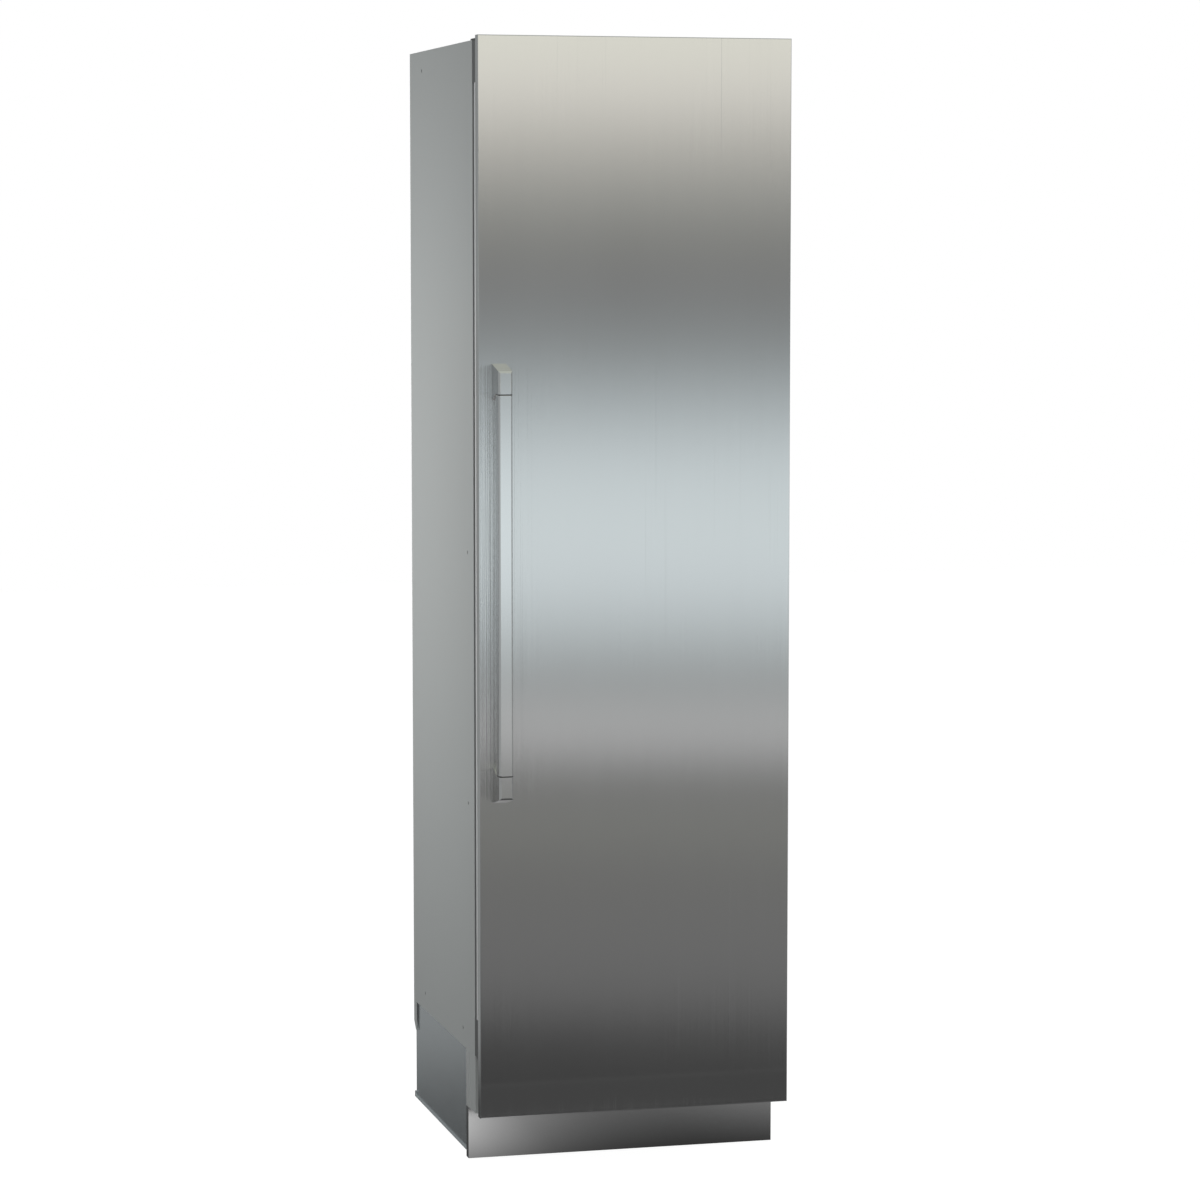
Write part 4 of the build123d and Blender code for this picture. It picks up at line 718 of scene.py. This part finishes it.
# Door
# A brushed stainless skin folded over the board and a painted steel pan behind it, filled with foam
# and closed by the inner liner. Dark plastic caps close the ends of its side edge.
door_steel = finish("brushed_door_steel", (0.8, 0.8, 0.8), 0.13, spread=(0.02, 0.02),
                    stretch=(520, 3, 0.6), cloud=(5, 0.8, 0.8), bump=1.0, bump_depth=0.0009,
                    Metallic=1.0, Anisotropic=1.0)
wear(door_steel, "front_panel")
wear(dark_plastic, "door_edge_caps")
soften(MOULDED_EDGE, "door_edge_caps")
shell_paint = finish("shell_paint", (0.55, 0.56, 0.56), 0.4)
wear(shell_paint, "door_outer_shell")
soften(SHEET_EDGE, "door_outer_shell")

# Door seal
# A dark rubber profile set on the door's back round its liner: a broad foot, a bellows fold and the
# chamber of the magnet strip, mitred and welded at the corners. The profile below is a row of
# levels, each with its half width and its height over the door's back.
SEAL_FOOT, SEAL_EDGE = 0.018, 0.0003
SEAL_PROFILE = ((0.009, 0.0036), (0.0035, 0.0044), (0.0035, 0.0052), (0.0058, 0.0062), (0.0058, 0.0074),
                (0.0035, 0.0084), (0.0035, 0.0092), (0.006, 0.0100), (0.006, 0.0137))
seal_rubber = finish("seal_rubber", (0.07, 0.07, 0.07), 0.6)
wear(seal_rubber, "door_gasket")
seal_low, seal_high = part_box("door_gasket")
seal_middle = Vector(((seal_low[0] + seal_high[0]) / 2, seal_low[1], (seal_low[2] + seal_high[2]) / 2))
seal_half_x = (seal_high[0] - seal_low[0] - SEAL_FOOT) / 2
seal_half_z = (seal_high[2] - seal_low[2] - SEAL_FOOT) / 2
bpy.ops.object.select_all(action="DESELECT")
bpy.ops.mesh.primitive_plane_add(size=1, location=seal_middle, rotation=(math.radians(90), 0, 0))
seal = bpy.context.object
seal.name = "finished_door_gasket"
seal.scale = (seal_high[0] - seal_low[0], seal_high[2] - seal_low[2], 1)
bpy.ops.object.transform_apply(location=True, rotation=True, scale=True)
pick(seal, "FACE", lambda face: True)
bpy.ops.mesh.inset(thickness=SEAL_FOOT, depth=0)
bpy.ops.mesh.delete(type="FACE")
bpy.ops.mesh.select_all(action="SELECT")
half_width, depth = SEAL_FOOT / 2, 0
for next_width, next_depth in SEAL_PROFILE:
    bpy.ops.mesh.extrude_region_move(TRANSFORM_OT_translate={"value": (0, next_depth - depth, 0)})
    level_y = seal_low[1] + next_depth
    # The outer loop of the new level goes to its half width, then the inner one does, the other way.
    for way in (1, -1):
        pick(seal, "VERT", lambda corner: abs(corner.co.y - level_y) < WELD
             and way * (abs(corner.co.x - seal_middle.x) - seal_half_x) > 0)
        stretch_x = (seal_half_x + way * next_width) / (seal_half_x + way * half_width)
        stretch_z = (seal_half_z + way * next_width) / (seal_half_z + way * half_width)
        bpy.ops.transform.resize(value=(stretch_x, 1, stretch_z), center_override=seal_middle)
    pick(seal, "FACE", lambda face: abs(face.center.y - level_y) < WELD)
    half_width, depth = next_width, next_depth
bpy.ops.mesh.select_all(action="SELECT")
bpy.ops.mesh.normals_make_consistent(inside=False)
bpy.ops.object.mode_set(mode="OBJECT")
round_edges(seal, SEAL_EDGE, segments=1)
stand_in(seal, "door_gasket")

# Handle
# A square steel bar between two flared end posts, screwed on from behind, with a black ring at each
# joint: a spacer whose near black is partly painted shade for the gap there. The posts' outer ends
# are chamfered across the front, and the sides wear a darker copy of the steel: painted shade.
BAR_EDGE, POST_EDGE, POST_CHAMFER = 0.0006, 0.0005, 0.003
POST_FRONT_REACH, POST_JOINT_REACH, SIDE_FACING = 0.0042, 0.03, 0.95
handle_steel = finish("handle_steel", (0.89, 0.89, 0.89), 0.12, spread=(0.02, 0.02),
                      stretch=(1200, 1200, 6), bump=0.01, Metallic=1.0, Anisotropic=0.9)
wear(handle_steel, "handle_bar", "handle_posts")
wear(screw_metal, "handle_screws")
soften(BAR_EDGE, "handle_bar")
posts = copy_of("handle_posts")
posts_low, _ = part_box("handle_posts")
bar_low, bar_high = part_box("handle_bar")


def across_outer_end(edge):
    """Whether an edge of the posts runs across an outer end, at the front."""
    first, second = (posts.data.vertices[number].co for number in edge.vertices)
    joint_gap = min(abs(first.z - bar_low[2]), abs(first.z - bar_high[2]))
    in_front = max(first.y, second.y) < posts_low[1] + POST_FRONT_REACH
    return in_front and abs(first.z - second.z) < WELD and joint_gap > POST_JOINT_REACH


pick(posts, "EDGE", across_outer_end)
bpy.ops.mesh.bevel(offset=POST_CHAMFER, segments=1, profile=0.5, affect="EDGES", loop_slide=False)
bpy.ops.object.mode_set(mode="OBJECT")
round_edges(posts, POST_EDGE)
stand_in(posts, "handle_posts")
# The sides of the bar and the posts get a darker copy of the steel: painted shade.
side_painted_shade_steel = finish("handle_side_steel", (0.52, 0.52, 0.52), 0.2, spread=(0.03, 0.03),
                    stretch=(1200, 1200, 6), bump=0.01, Metallic=1.0, Anisotropic=0.9)
for piece in (bpy.data.objects["finished_handle_bar"], posts):
    piece.data.materials.append(side_painted_shade_steel)
    for face in piece.data.polygons:
        if abs(face.normal.x) > SIDE_FACING:
            face.material_index = 1

RING_HEIGHT, RING_INSET, RING_WALL, RING_EDGE, BAR_CHAMFER = 0.002, 0.0003, 0.0013, 0.0002, 0.0035
# Near black, partly the spacer's own colour and partly painted shade for the gap in each joint.
ring_black_and_gap_shade = finish("ring_black_and_gap_shade", (0.02, 0.02, 0.021), 0.45, stretch=(500, 500, 500))
ring_x, ring_y = (bar_low[0] + bar_high[0]) / 2, (bar_low[1] + bar_high[1]) / 2
bpy.ops.object.select_all(action="DESELECT")
bpy.ops.mesh.primitive_plane_add(size=1, location=(ring_x, ring_y, bar_high[2]))
ring = bpy.context.object
ring.name = "handle_ring_upper"
ring.scale = (bar_high[0] - bar_low[0] - 2 * RING_INSET, bar_high[1] - bar_low[1] - 2 * RING_INSET, 1)
bpy.ops.object.transform_apply(location=True, rotation=True, scale=True)
pick(ring, "VERT", lambda corner: corner.co.y < ring_y)
bpy.ops.mesh.bevel(offset=BAR_CHAMFER, segments=1, affect="VERTICES")
pick(ring, "FACE", lambda face: True)
bpy.ops.mesh.inset(thickness=RING_WALL, depth=0)
bpy.ops.mesh.delete(type="FACE")
bpy.ops.mesh.select_all(action="SELECT")
bpy.ops.mesh.extrude_region_move(TRANSFORM_OT_translate={"value": (0, 0, RING_HEIGHT)})
bpy.ops.mesh.select_all(action="SELECT")
bpy.ops.mesh.normals_make_consistent(inside=False)
bpy.ops.object.mode_set(mode="OBJECT")
round_edges(ring, RING_EDGE, segments=1)
adopt(ring, "door", ring_black_and_gap_shade)
lower_ring = copied(ring, "handle_ring_lower", (0, 0, bar_low[2] - RING_HEIGHT - bar_high[2]))
adopt(lower_ring, "door", ring_black_and_gap_shade)
